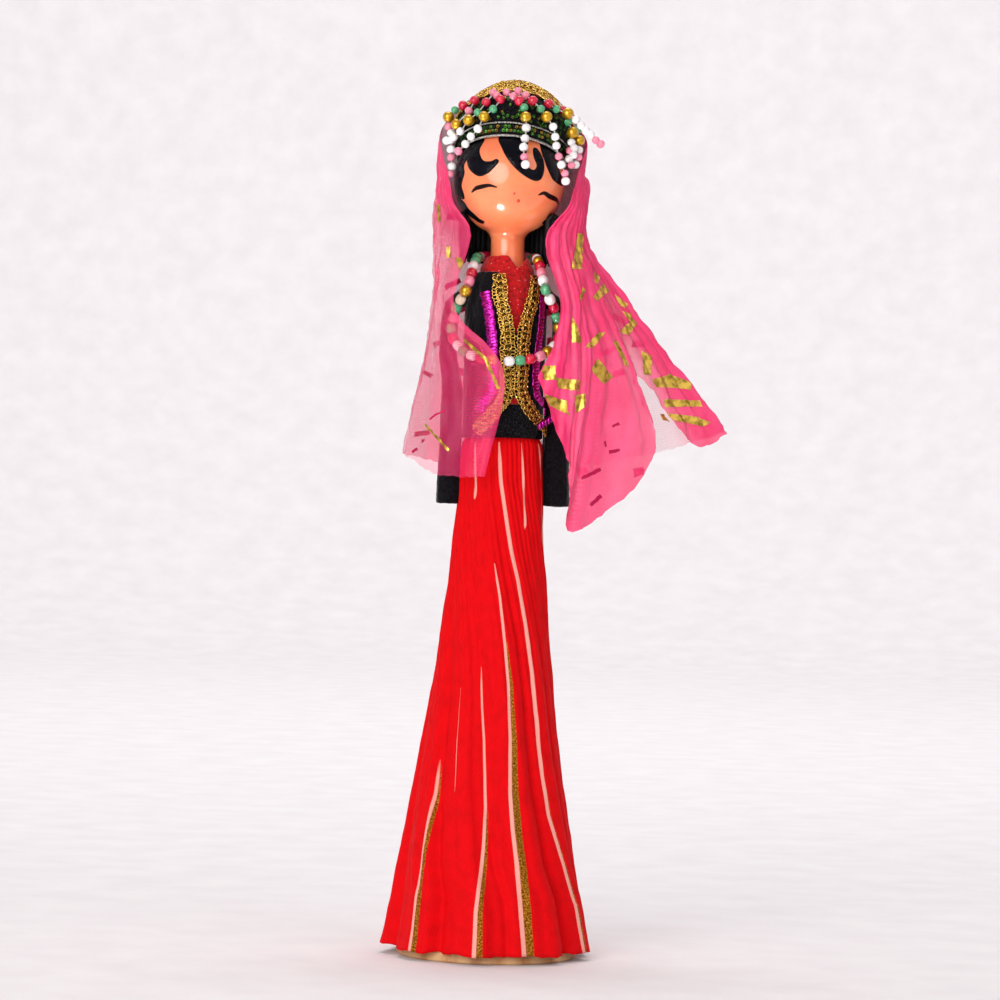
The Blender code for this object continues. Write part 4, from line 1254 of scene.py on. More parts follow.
@dataclass(frozen=True)
class Braids:
    """Gold looped braid and magenta foil braid on the jacket's front edges."""

    clothes: UpperClothes
    front_x: float = 0.0037
    neck_half: float = 0.0066
    neck_v_z: float = 0.2115
    hem_v_z: float = 0.191
    hem_half: float = 0.0125
    top_drop: float = 0.0022
    gold_half: float = 0.0018
    gold_scallop: float = 0.00025
    gold_thickness: float = 0.0011
    gold_ground: float = 0.0006
    magenta_half: float = 0.0012
    magenta_thickness: float = 0.0008
    magenta_ripple: float = 0.00022
    fullness: float = 1.42
    thread: float = 0.00021
    curl: float = 0.0009
    curl_pitch: float = 0.00105
    curl_rise: float = 0.00028
    drift_aside: float = 0.0003
    drift_out: float = 0.0002
    ripple_pitch: float = 0.0011
    pinch_pitch: float = 0.0034
    ground_step: float = 0.00022
    coil_from: tuple[float, float, float] = (0.0122, -0.0115, 0.1808)
    coil_to: tuple[float, float, float] = (0.0172, -0.008, 0.1842)
    coil_reach: tuple[float, float, float] = (0.0003, 0.0012, 0.0013)
    coil_turns: int = 5
    coil_thread: float = 0.00045

    def levels(self) -> tuple[float, float, float, float]:
        """Heights where a braid starts, meets its twin and ends, and half the way between the two."""
        wood = self.clothes.wood
        return (wood.neck_base_z - self.top_drop, (self.neck_v_z + self.hem_v_z) / 2, wood.waist_z + GAP,
                self.gold_half + self.gold_scallop + 2 * GAP)

    def gold_route(self, side: int) -> list[tuple[float, float]]:
        """Sideways places and heights that one gold braid passes."""
        top_z, meet_z, hem_z, pair = self.levels()
        return [(self.front_x + side * reach, z) for reach, z in (
            (self.neck_half * 0.95, top_z), (self.neck_half * 0.85, top_z - 0.008),
            (pair * 1.15, self.neck_v_z + 0.002), (pair, meet_z), (pair, self.hem_v_z + 0.001),
            (self.hem_half * 0.62, self.hem_v_z - 0.007), (self.hem_half * 1.02, hem_z + 0.002))]

    def magenta_route(self, side: int, start: float) -> list[tuple[float, float]]:
        """Sideways places and heights that one magenta braid passes.

        Args:
            side: -1 for the left one, 1 for the right one.
            start: Where it starts, as a share of the collarbone's place.

        Returns:
            The places.
        """
        top_z, meet_z, hem_z, pair = self.levels()
        beside = 2 * self.gold_half + self.magenta_half + 4 * GAP
        collarbone = self.neck_half * 0.85 + beside
        return [(self.front_x + side * reach, z) for reach, z in (
            (collarbone * start, top_z - 0.006), (pair + beside, self.neck_v_z + 0.003),
            (pair + beside * 0.8, meet_z), (pair + beside * 0.9, self.hem_v_z + 0.001),
            (pair + beside * 1.35, self.hem_v_z - 0.0025), (self.hem_half * 0.95, hem_z + 0.0085))]

    def laid(self, route: Sequence[tuple[float, float]], lift: float) -> tuple[Layer, float]:
        """Lay a route on the jacket.

        Args:
            route: Sideways places and heights.
            lift: Height of its middle over the cloth.

        Returns:
            A function that gives points for lengths along, across and out of the route, and the
            route's length.
        """
        line = smooth_path(route, 200)
        run, ahead = run_along(line), directions(line)

        def place(along: np.ndarray, across: np.ndarray, out: np.ndarray) -> np.ndarray:
            """Points over the jacket for places on the flat braid."""
            x, z = np.interp(along, run, line[:, 0]), np.interp(along, run, line[:, 1])
            dx, dz = np.interp(along, run, ahead[:, 0]), np.interp(along, run, ahead[:, 1])
            rows = []
            for cx, cz, ax, az, wide, high in zip(x, z, dx, dz, across, out):
                radius = self.clothes.jacket_radius(cz) + lift
                turn = math.asin(max(-0.99, min(0.99, cx / radius))) + az * wide / radius
                height = cz - ax * wide
                radius = self.clothes.jacket_radius(height) + lift + high
                rows.append((radius * math.sin(turn), -radius * math.cos(turn), height))
            return np.array(rows)

        return place, run[-1]

    def curls(self, mesher: Mesher, place: Layer, length: float, half: float, lanes: int,
              seed: int) -> None:
        """Fill a braid with lanes of curled thread.

        Args:
            mesher: Piece that gets the thread.
            place: Function that lays flat places on the braid's ground.
            length: Length of the braid.
            half: Its half width.
            lanes: Number of lanes of curls.
            seed: Seed of the unevenness.
        """
        draw = random.Random(seed)
        for lane in range(lanes):
            middle = half * (2 * (lane + 0.5) / lanes - 1) * 0.85
            turns = int(length / self.curl_pitch)
            phase = np.linspace(0, 2 * math.pi * turns, turns * 12)
            wobble = np.interp(phase, np.linspace(0, phase[-1], turns),
                               [draw.uniform(0.55, 1.2) for _ in range(turns)])
            drift = np.interp(phase, np.linspace(0, phase[-1], turns // 3),
                              [draw.uniform(-1, 1) for _ in range(turns // 3)])
            way = 1 if lane % 2 else -1
            along = phase / phase[-1] * length + self.curl * 0.9 * wobble * np.cos(phase)
            across = middle + self.drift_aside * drift + way * self.curl * wobble * np.sin(phase)
            out = self.curl_rise * np.sin(phase * 0.5 + lane) + self.drift_out * drift
            mesher.tube(place(np.clip(along, 0, length), across, out), self.thread, 5, finish=1)

    def ground(self, mesher: Mesher, place: Layer, length: float, half: float, depth: float,
               ripple: float) -> None:
        """Add the flat ground of a braid as a closed strip.

        Args:
            mesher: Piece that gets the strip.
            place: Function that lays flat places.
            length: Its length.
            half: Its half width.
            depth: Its thickness.
            ripple: Height of the cross ripples in its face.
        """
        sides = 14
        ring = 2 * math.pi * np.arange(sides) / sides
        rows = []
        for along in np.linspace(0.0, length, int(length / self.ground_step)):
            wave = 1 + ripple / depth * math.sin(2 * math.pi * along / self.ripple_pitch)
            pinch = 1 + 0.08 * math.sin(2 * math.pi * along / self.pinch_pitch)
            rows.append(place(np.full(sides, along) + ripple * np.sin(ring * 2) * 0.6,
                              half * pinch * np.cos(ring), depth / 2 * wave * np.sin(ring)))
        mesher.grid(np.array(rows), wrap=True)
        mesher.close_ends(len(rows), sides, 0)

    def coil(self) -> np.ndarray:
        """Centre line of the foil's loose end, coiled beside the right braid."""
        turn = np.linspace(0, 2 * math.pi * self.coil_turns, 90)
        waves = (np.sin(turn), np.cos(turn), np.sin(turn))
        return np.stack([np.interp(turn, (0, turn[-1]), (first, last)) + reach * wave
                         for first, last, reach, wave in
                         zip(self.coil_from, self.coil_to, self.coil_reach, waves)], axis=1)

    def build(self) -> None:
        """Sew on all four braids."""
        # The braid's ground is dark olive gold kept near black: partly its own colour, partly painted shade
        # in the gaps between the curls.
        gold = [MetallisedThread("dark_gold_ground_painted_shade", "#5A4018", "#140C04", 0.6).material(),
                GOLD_THREAD.material()]
        for side, word in ((-1, "left"), (1, "right")):
            place, length = self.laid(self.gold_route(side), 2 * GAP + self.gold_thickness / 2)
            mesher = Mesher()
            self.ground(mesher, place, length, self.gold_half * 0.8, self.gold_ground, 0.0)
            self.curls(mesher, place, length, self.gold_half * self.fullness, 4, 11 + side)
            settle(mesher.piece(f"gold_braid_{word}_looped", gold), Slot.GOLD, f"gold_braid_{word}")
        foil = [MAGENTA_FOIL.material()]
        for side, word, start in ((-1, "left", 0.95), (1, "right", 0.78)):
            lift = 2 * GAP + self.magenta_thickness / 2
            place, length = self.laid(self.magenta_route(side, start), lift)
            mesher = Mesher()
            self.ground(mesher, place, length, self.magenta_half * self.fullness * 1.15,
                        self.magenta_thickness, self.magenta_ripple)
            if side > 0:
                mesher.tube(self.coil(), self.coil_thread, 8)
            settle(mesher.piece(f"magenta_braid_{word}_foil", foil), Slot.MAGENTA,
                   f"magenta_braid_{word}")


@dataclass(frozen=True)
class Cap:
    """Puffed cap on the back of the head, with its trim, crown braid and sequins."""

    wood: Wood
    tilt: float = math.radians(25)
    roll: float = math.radians(4)
    rim_share: float = 0.42
    rim_ease: float = 0.0013
    bulge: float = 0.0021
    height: float = 0.0288
    cloth: float = 0.0009
    dents: float = 0.00018
    crown_height: float = 0.021
    crown_half: float = 0.0032
    crown_thickness: float = 0.0014
    crown_dip: float = 0.006
    scallop_pitch: float = 0.0042
    scallop_thread: float = 0.0003
    cord_radius: float = 0.0007
    band_height: float = 0.0034
    band_cord: float = 0.00028
    band_lift: float = 0.0003
    cord_turns: int = 64
    sequin_rows: tuple[float, ...] = (0.0009, 0.0022)
    sequins_round: int = 96
    loose_sequins: int = 420
    loose_turn: float = 1.9
    loose_heights: tuple[float, float] = (0.0042, 0.0168)
    sequin_radii: tuple[float, float] = (0.00055, 0.0008)
    sequin_lift: float = 0.00035
    sequin_section: tuple[tuple[float, float], ...] = (
        (0.12, -0.00013), (0.6, -0.00018), (1.0, 0.00006), (0.6, -0.0001), (0.12, -0.00005))

    def rim_up(self) -> float:
        """Distance of the rim's centre from the head's centre."""
        return self.rim_share * self.wood.head_radius

    def rim_radius(self) -> float:
        """Radius of the rim."""
        return math.sqrt(self.wood.head_radius ** 2 - self.rim_up() ** 2) + self.rim_ease

    def frame(self) -> Matrix:
        """Place of the rim's centre and axes: tilted back and rolled aside."""
        turn = Matrix.Rotation(self.roll, 4, "Y") @ Matrix.Rotation(-self.tilt, 4, "X")
        axis = turn @ Vector((0.0, 0.0, 1.0))
        return Matrix.Translation(Vector((0.0, 0.0, self.wood.head_z)) + axis * self.rim_up()) @ turn

    def radius(self, height: float) -> float:
        """Outer radius of the cap at a height above its rim."""
        share = min(1.0, max(0.0, height / self.height))
        swell = self.rim_radius() + self.bulge * math.sin(math.pi * min(1.0, share * 1.7))
        return swell * math.sqrt(max(0.0, 1.0 - max(0.0, share - 0.3) ** 2 / 0.49))

    def slope(self, height: float) -> Vector:
        """Outward direction over the cap, as (out, up), at a height."""
        step = 0.0005
        return Vector((2 * step, self.radius(height - step) - self.radius(height + step))).normalized()

    def surface(self, turn: float, height: float, lift: float = 0.0) -> Vector:
        """World point over the cap.

        Args:
            turn: Angle from its front.
            height: Height above its rim.
            lift: Distance out of its surface.

        Returns:
            The point.
        """
        out = self.slope(height)
        radius = self.radius(height) + lift * out.x
        return self.frame() @ around(radius, turn, height + lift * out.y)

    def build_cap(self) -> None:
        """Puffed velvet cap with soft dents."""
        sides, steps = 128, 40
        shares = [math.sin(math.pi / 2 * i / steps) for i in range(steps)]
        place = self.frame()
        turn = 2 * math.pi * np.arange(sides) / sides
        rows = []
        for scale, heights in ((1.0, shares), (0.0, shares[::-1])):
            for share in heights:
                inset = 0.0 if scale else self.cloth
                radius = max(0.0004, self.radius(self.height * share) - inset)
                z = self.height * share * (1 if scale else 1 - self.cloth / self.height)
                rows.append([tuple(place @ around(radius, angle, z)) for angle in turn])
        net = np.array(rows)
        outer = net[:steps]
        centre = np.array(place @ Vector((0, 0, self.height * 0.3)))
        out = outer - centre
        out /= np.linalg.norm(out, axis=-1)[..., None]
        net[:steps] = outer + out * (self.dents * ruffle(outer, 0.004, 8.0))[..., None]
        mesher = Mesher()
        mesher.grid(net, wrap=True, ring=True)
        piece = mesher.piece("cap_velvet", [Pile("black_cap_velvet").material()])
        settle(piece, Slot.VELVET, "cap")

    def cord(self, mesher: Mesher, place: Callable[[float, float, float], Vector], swing: float,
             radius: float) -> None:
        """Add a two-ply twisted cord round the cap.

        Args:
            mesher: Piece that gets the cord.
            place: Gives the point for an angle round the cap and a way out and up off the cord's middle.
            swing: Distance of each ply's middle from the cord's.
            radius: Radius of a ply.
        """
        steps = self.cord_turns * 10
        for ply in (0.0, math.pi):
            path = []
            for i in range(steps):
                angle = 2 * math.pi * i / steps
                spin = angle * self.cord_turns + ply
                path.append(place(angle, swing * math.cos(spin), swing * math.sin(spin)))
            mesher.tube(np.array(path), radius, 6, closed=True)

    def build_trim(self) -> None:
        """Silver cord under the rim and a second one above the sequin band."""
        mesher = Mesher()
        drop = -GAP - self.cord_radius
        ball = math.sqrt(self.wood.head_radius ** 2 - (self.rim_up() + drop) ** 2)
        reach = max(self.rim_radius() - self.cloth / 2, ball + self.cord_radius + GAP)

        def under_rim(angle: float, out: float, up: float) -> Vector:
            """Point under the rim's edge."""
            return self.frame() @ around(reach + out, angle, drop + up)

        def over_band(angle: float, out: float, up: float) -> Vector:
            """Point above the sequin band."""
            return self.surface(angle, self.band_height + up, self.band_lift + out)

        self.cord(mesher, under_rim, self.cord_radius * 0.3, self.cord_radius * 0.4)
        self.cord(mesher, over_band, self.band_cord * 0.5, self.band_cord * 0.55)
        piece = mesher.piece("silver_rim_cords", [SILVER_THREAD.material()])
        settle(piece, Slot.SILVER, "brim_cord")

    def build_sequins(self) -> None:
        """Dished sequins sewn in rows round the rim and more loosely over the front."""
        draw = random.Random(23)
        mesher = Mesher()
        finishes = [Sequin("green_sequin_film", "#3E6B2A"), Sequin("black_sequin_film", "#15161A"),
                    Sequin("old_gold_sequin_film", "#7C6428")]
        spots = []
        for row, height in enumerate(self.sequin_rows):
            spots += [(2 * math.pi * (i + row / 2) / self.sequins_round, height)
                      for i in range(self.sequins_round)]
        for _ in range(self.loose_sequins):
            spots.append((draw.uniform(-self.loose_turn, self.loose_turn),
                          draw.uniform(*self.loose_heights)))
        for angle, height in spots:
            size = draw.uniform(*self.sequin_radii)
            centre = self.surface(angle, height, self.sequin_lift)
            out = (self.surface(angle, height, 0.001) - self.surface(angle, height, 0.0)).normalized()
            out = (out + Vector([draw.uniform(-0.25, 0.25) for _ in range(3)])).normalized()
            shade = draw.choices((0, 1, 2), (5, 4, 2))[0]
            mesher.spin(centre, out, [(size * share, depth) for share, depth in self.sequin_section], 10,
                        shade)
        piece = mesher.piece("cap_sequins", [finish.material() for finish in finishes])
        settle(piece, Slot.VELVET)

    def build_crown(self, braids: Braids) -> None:
        """Looped gold braid round the crown, on a dark red ribbon.

        Args:
            braids: Maker of the curled thread.
        """
        mesher = Mesher()
        round_it = 2 * math.pi * self.radius(self.crown_height)

        def place(along: np.ndarray, across: np.ndarray, out: np.ndarray) -> np.ndarray:
            """Points over the crown for places on the flat braid."""
            lift = GAP + self.crown_thickness / 2
            middle = self.crown_height - self.crown_half * 0.25
            return np.array([self.surface(2 * math.pi * a / round_it,
                                          middle - self.crown_dip * math.sin(2 * math.pi * a / round_it) ** 2
                                          + w, lift + o) for a, w, o in zip(along, across, out)])

        turn = np.arange(96) / 96 * round_it
        rows = [place(turn, np.full(96, self.crown_half * share), np.full(96, depth))
                for share, depth in ((-1.0, -0.0004), (1.25, -0.0004), (1.25, 0.0), (-1.0, 0.0))]
        mesher.grid(np.array(rows)[::-1], wrap=True, ring=True)
        braids.curls(mesher, place, round_it, self.crown_half * 1.15, 5, 31)
        scallop = np.linspace(0, round_it, 900)
        edge = self.crown_half * (-1.05 + 0.16 * np.sin(2 * math.pi * scallop / self.scallop_pitch))
        mesher.tube(place(scallop, edge, np.full(900, 0.0002)), self.scallop_thread, 6, finish=1)
        ribbon = PlainCotton("#8E1018", "#3C060A", "#B02028").material()
        piece = mesher.piece("crown_braid_looped", [ribbon, GOLD_THREAD.material()])
        settle(piece, Slot.GOLD, "crown_braid")


@dataclass(frozen=True)
class Strand:
    """One strand of the fringe: a letter for each bead, and the beads' centres in millimetres."""

    beads: str
    centres: tuple[tuple[float, float, float], ...]


# The strands from the left: they fan out, and two on the right swing away from the face.
STRANDS = (
    Strand("WWPWP", ((-20.6, -3.2, 278.0), (-20.3, -3.6, 274.9), (-20.2, -4.0, 272.1), (-19.9, -4.6, 268.9),
        (-20.3, -5.0, 266.2))),
    Strand("RGYP", ((-16.7, -2.0, 290.2), (-19.4, -1.6, 288.6), (-21.6, -1.2, 286.2),
        (-21.4, -1.6, 282.8))),
    Strand("RPYW", ((-12.8, -5.5, 291.6), (-14.6, -7.0, 287.9), (-18.7, -4.9, 283.4),
        (-20.4, -2.6, 280.6))),
    Strand("RGYWWW", ((-8.7, -10.3, 290.7), (-11.5, -10.1, 287.1), (-14.5, -9.1, 284.5),
        (-17.3, -7.2, 280.8), (-19.5, -5.4, 279.0), (-22.0, -3.2, 277.9))),
    Strand("PPRGYWWWP", ((-6.4, -7.6, 294.3), (-5.2, -9.6, 293.1), (-4.0, -11.5, 291.7),
        (-6.3, -12.5, 288.2), (-9.3, -12.7, 285.5), (-11.3, -12.9, 281.3), (-13.6, -12.9, 278.6),
        (-15.4, -12.8, 276.0), (-17.7, -12.7, 273.5))),
    Strand("PPRGYWWWPW", ((-1.9, -9.9, 294.3), (0.4, -11.6, 292.9), (2.5, -13.7, 291.2),
        (4.2, -14.3, 288.8), (4.8, -15.6, 285.5), (5.1, -16.2, 281.8), (4.8, -17.2, 278.1),
        (4.4, -18.8, 275.0), (4.7, -20.0, 271.6), (5.2, -20.6, 269.0))),
    Strand("PPRGYWWWPWPW", ((2.0, -9.6, 294.8), (4.6, -11.0, 293.3), (7.0, -12.5, 291.4),
        (9.9, -12.7, 288.7), (11.9, -13.3, 286.0), (14.2, -13.3, 282.7), (15.0, -13.3, 279.3),
        (15.5, -13.3, 276.3), (16.4, -13.3, 272.7), (17.4, -13.4, 269.9), (18.7, -13.4, 267.0),
        (19.0, -13.4, 264.4))),
    Strand("RGYWWWWPP", ((12.5, -8.1, 291.1), (15.2, -6.9, 289.4), (19.2, -7.0, 288.0),
        (22.0, -10.0, 285.7), (23.7, -10.4, 283.8), (25.4, -10.5, 281.9), (27.1, -10.5, 280.6),
        (28.9, -10.5, 278.9), (30.6, -10.5, 277.6))),
    Strand("RGYWPW", ((17.6, -3.2, 289.4), (19.5, -4.7, 285.4), (21.0, -5.2, 281.7), (20.7, -5.2, 278.4),
        (20.3, -5.2, 275.5), (20.1, -5.2, 272.7))),
    Strand("WWP", ((21.6, -5.6, 276.4), (21.5, -5.8, 274.0), (20.9, -6.0, 270.5))),
    Strand("RGYWPW", ((20.4, -0.5, 287.2), (22.6, -1.0, 282.9), (23.4, -1.9, 279.4), (23.3, -2.6, 276.1),
        (23.2, -3.0, 273.6), (22.3, -3.3, 271.0))),
)


@dataclass(frozen=True)
class Beadwork:
    """Bead fringe of the cap and the necklace."""

    wood: Wood
    clothes: UpperClothes
    necklace_bead: float = 0.0038
    necklace_beads: int = 42
    drop: float = 0.0322
    thread: float = 0.00022
    braid_depth: float = 0.0011
    collar_depth: float = 0.0022
    ease: float = 0.0007
    finishes: dict[BeadColour, int] = field(
        default_factory=lambda: {colour: i for i, colour in enumerate(BeadColour)})
    kinds: dict[str, tuple[BeadColour, float, float]] = field(default_factory=lambda: {
        "R": (BeadColour.RED, 0.0034, 0.0031), "G": (BeadColour.GREEN, 0.0029, 0.0027),
        "Y": (BeadColour.GOLD, 0.004, 0.0038), "W": (BeadColour.WHITE, 0.003, 0.0028),
        "P": (BeadColour.PINK, 0.0028, 0.0026)})

    def materials(self) -> list[Finish]:
        """One material for each bead colour, then the thread's."""
        return [MouldedBead(colour).material() for colour in BeadColour] + [SewingThread().material()]

    def string(self, mesher: Mesher, path: np.ndarray, beads: Sequence[tuple[BeadColour, float, float]],
               square: float) -> None:
        """Thread beads on a path.

        Args:
            mesher: Piece that gets the beads.
            path: Even points along the thread.
            beads: Colour, diameter and length of each bead in order.
            square: Form of the beads, from ball to barrel.
        """
        step = path_length(path) / (len(path) - 1)
        run = 0.0
        for colour, width, length in beads:
            index = min(len(path) - 2, int((run + length / 2) / step))
            axis = Vector(path[index + 1] - path[index - 1 if index else 0]).normalized()
            mesher.bead(Vector(path[index]), axis, width, length, square, self.finishes[colour])
            run += length
        end = min(len(path), int(run / step) + 1)
        mesher.tube(path[:end:4], self.thread, 5, finish=len(BeadColour))

    def build_fringe(self) -> None:
        """String every strand of the fringe."""
        finishes = self.materials()
        draw = random.Random(5)
        for index, strand in enumerate(STRANDS):
            centres = np.array(strand.centres) * MM
            first, last = centres[0], len(centres) - 1
            mesher = Mesher()
            for number, letter in enumerate(strand.beads):
                colour, width, length = self.kinds[letter]
                ahead = centres[min(number + 1, last)] - centres[max(number - 1, 0)]
                size = draw.uniform(0.95, 1.05)
                mesher.bead(Vector(centres[number]), Vector(ahead).normalized(), width * size,
                            length * size, 2.2, self.finishes[colour])
            thread = smooth_path([first * 1.6 - centres[1] * 0.6, *centres], 50)
            mesher.tube(thread, self.thread, 5, finish=len(BeadColour))
            name = f"bead_strand_{index + 1:02d}"
            settle(mesher.piece(f"{name}_strung", finishes), Slot.BEADS, name)

    def necklace_route(self) -> np.ndarray:
        """Loop of the necklace: down both sides of the chest and round behind the neck."""
        drop = self.necklace_bead / 2 + GAP
        out = self.clothes.jacket_out + 2 * GAP + self.braid_depth + self.ease + drop
        front = self.wood.chest_radius + out
        chest = self.wood.neck_base_z
        shapes = [(0.60, -0.08), (0.74, 0.22), (0.94, 0.45), (1.0, 0.73), (0.66, 0.93), (0.0, 1.0)]
        points = []
        for share, fall in shapes:
            x = share * (front * 0.96)
            depth = front * math.sqrt(max(0.04, 1.0 - (x / (front * 1.06)) ** 2))
            shoulder = min(1.0, max(0.0, 3.2 * fall + 0.55))
            points.append((x, -depth * shoulder, chest - self.drop * fall))
        ring = self.wood.neck_radius + self.collar_depth + 0.0009 + drop + self.ease
        behind = [(ring * share / 0.55, ring * math.sqrt(1 - (share / 0.55) ** 2), chest - self.drop * fall)
                  for share, fall in ((0.40, -0.15), (0.0, -0.175))]
        left = [(-x, y, z) for x, y, z in points]
        behind_left = [(-x, y, z) for x, y, z in behind]
        loop = points[::-1] + behind + behind_left[-2::-1] + left
        return smooth_path(loop, 1600)

    def necklace_colours(self) -> list[BeadColour]:
        """Colours from the lowest bead up the right side, behind the neck and down the left."""
        red, pink, green, gold, white, cream = BeadColour
        right = [white, green, red, pink, gold, white, red, gold, green, red, white, green, white, pink,
                 red, gold]
        behind = [white, red, green, pink, gold, white, green, red, white, pink, green]
        left = [green, white, red, pink, gold, cream, green, pink, green, red, white, green, white, red,
                gold]
        return right + behind + left

    def build_necklace(self) -> None:
        """String the necklace of barrel and round beads."""
        draw = random.Random(3)
        path = self.necklace_route()
        pitch = path_length(path) / self.necklace_beads
        beads = []
        for colour in self.necklace_colours():
            size = draw.uniform(0.92, 1.06) * (1.02 if colour is BeadColour.GOLD else 0.95)
            beads.append((colour, self.necklace_bead * size, pitch * 0.985))
        mesher = Mesher()
        self.string(mesher, path, beads, 2.7)
        piece = mesher.piece("bead_necklace_strung", self.materials())
        settle(piece, Slot.BEADS, "bead_necklace")


@dataclass(frozen=True)
class BackHair:
    """Fall of nylon hair behind the neck, in locks."""

    wood: Wood
    bottom_z: float = 0.2368
    half_angle: float = math.radians(112)
    inner: float = 0.0142
    off_head: float = 0.0007
    layers: tuple[float, float] = (0.0016, 0.0008)
    lock_half: float = 0.00125
    locks: int = 26

    def build(self) -> None:
        """Lay the locks side by side round the neck."""
        draw = random.Random(17)
        mesher = Mesher()
        top_z = self.wood.head_z - self.wood.head_radius * 0.62
        for layer, depth in enumerate(self.layers):
            for index in range(self.locks):
                angle = self.half_angle * (2 * (index + 0.5 * layer) / (self.locks - 1) - 1) * 0.98
                low = self.bottom_z + draw.uniform(-0.0004, 0.0016)
                sweep = draw.uniform(-0.05, 0.05)
                path = []
                for share in np.linspace(0, 1, 14):
                    z = top_z + (low - top_z) * share
                    radius = max(self.inner, self.wood.ball(z) + self.off_head) + depth
                    turn = angle + sweep * share
                    path.append((radius * math.sin(turn), radius * math.cos(turn), z))
                wide = self.lock_half * np.sin(np.pi * np.linspace(0.25, 0.97, 14)) ** 0.5
                mesher.tube(np.array(path), wide, 8)
        piece = mesher.piece("back_hair_locks", [NylonHair().material()])
        settle(piece, Slot.HAIR, "back_hair")


@dataclass(frozen=True)
class Motif:
    """One printed motif: its four corners as (x, z) in millimetres, seen from the front."""

    corners: tuple[tuple[float, float], ...]
    inked: bool = False
    behind: bool = False


FOIL_MOTIFS = (
    ((23.8, 247.5), (25.8, 247.5), (25.5, 234.9), (21.8, 234.5)),
    ((29.8, 234.6), (31.7, 232.7), (31.2, 230.2), (29.9, 231.2)),
    ((33.0, 230.5), (35.2, 228.4), (30.9, 224.2), (29.5, 225.5)),
    ((25.9, 229.0), (26.9, 227.8), (25.7, 223.9), (24.7, 224.3)),
    ((37.1, 227.3), (41.8, 223.9), (40.6, 222.6), (38.6, 223.9)),
    ((39.8, 221.4), (42.9, 220.7), (44.0, 217.6), (41.8, 218.7)),
    ((43.7, 219.1), (45.1, 217.5), (42.3, 213.1), (39.1, 214.2)),
    ((22.3, 218.5), (24.6, 214.8), (26.0, 209.4), (22.9, 209.6)),
    ((31.8, 213.6), (34.2, 213.7), (30.1, 208.1), (27.1, 208.0)),
    ((36.7, 210.8), (38.3, 210.9), (42.9, 202.0), (40.9, 202.8)),
    ((46.7, 208.1), (50.3, 206.2), (50.1, 199.6), (47.7, 199.9)),
    ((31.7, 204.6), (37.0, 198.6), (33.9, 195.8), (29.5, 200.7)),
    ((50.7, 198.2), (56.8, 200.4), (56.6, 195.8), (52.2, 195.5)),
    ((56.8, 200.4), (64.4, 197.9), (64.2, 195.5), (56.6, 195.8)),
    ((54.6, 191.7), (67.5, 191.7), (68.4, 189.7), (55.4, 189.0)),
    ((54.5, 187.0), (65.9, 186.2), (64.2, 183.7), (55.6, 184.8)),
    ((65.9, 186.2), (71.4, 184.3), (68.7, 182.8), (64.2, 183.7)),
    ((12.5, 201.2), (17.2, 201.5), (17.7, 196.6), (13.3, 196.5)),
    ((17.6, 197.3), (26.1, 196.9), (25.5, 193.2), (18.4, 194.0)),
    ((12.8, 192.1), (21.3, 189.7), (22.4, 185.0), (15.2, 188.2)),
    ((24.0, 191.6), (27.8, 192.5), (28.1, 188.2), (24.8, 185.8)),
    ((-26.6, 180.4), (-26.0, 180.8), (-17.4, 172.1), (-17.9, 171.4)),
    ((-14.1, 208.7), (-13.4, 209.3), (-5.8, 203.4), (-6.6, 202.4)),
    ((-6.6, 202.4), (-5.8, 203.4), (-1.1, 193.3), (-2.1, 192.9)),
    ((-13.8, 231.6), (-12.9, 232.0), (-8.9, 220.9), (-10.3, 220.2)),
    ((-20.8, 240.6), (-19.5, 241.0), (-19.0, 237.3), (-20.4, 236.9)),
    ((-17.7, 236.9), (-15.6, 237.3), (-14.5, 233.6), (-16.2, 232.9)),
    ((-24.5, 255.8), (-23.5, 255.8), (-22.9, 249.7), (-24.0, 249.6)))
INK_MOTIFS = (
    ((36.3, 173.5), (40.0, 174.3), (40.2, 173.3), (36.7, 172.2)),
    ((27.2, 164.3), (33.5, 167.6), (34.1, 166.6), (27.5, 163.2)),
    ((30.2, 155.2), (33.8, 158.6), (34.7, 157.8), (31.1, 154.2)),
    ((37.1, 182.0), (39.3, 183.3), (39.8, 182.5), (37.5, 181.2)),
    ((34.7, 176.7), (35.3, 176.7), (35.6, 174.7), (34.9, 174.6)),
    ((-27.4, 175.1), (-26.2, 175.7), (-25.9, 174.8), (-27.0, 174.1)),
    ((-30.6, 171.4), (-28.8, 172.6), (-28.2, 171.9), (-30.1, 170.7)),
    ((-24.8, 182.6), (-22.2, 184.4), (-21.8, 183.9), (-24.5, 181.9)),
    ((-22.1, 184.3), (-19.5, 185.6), (-19.3, 185.1), (-21.8, 183.8)))


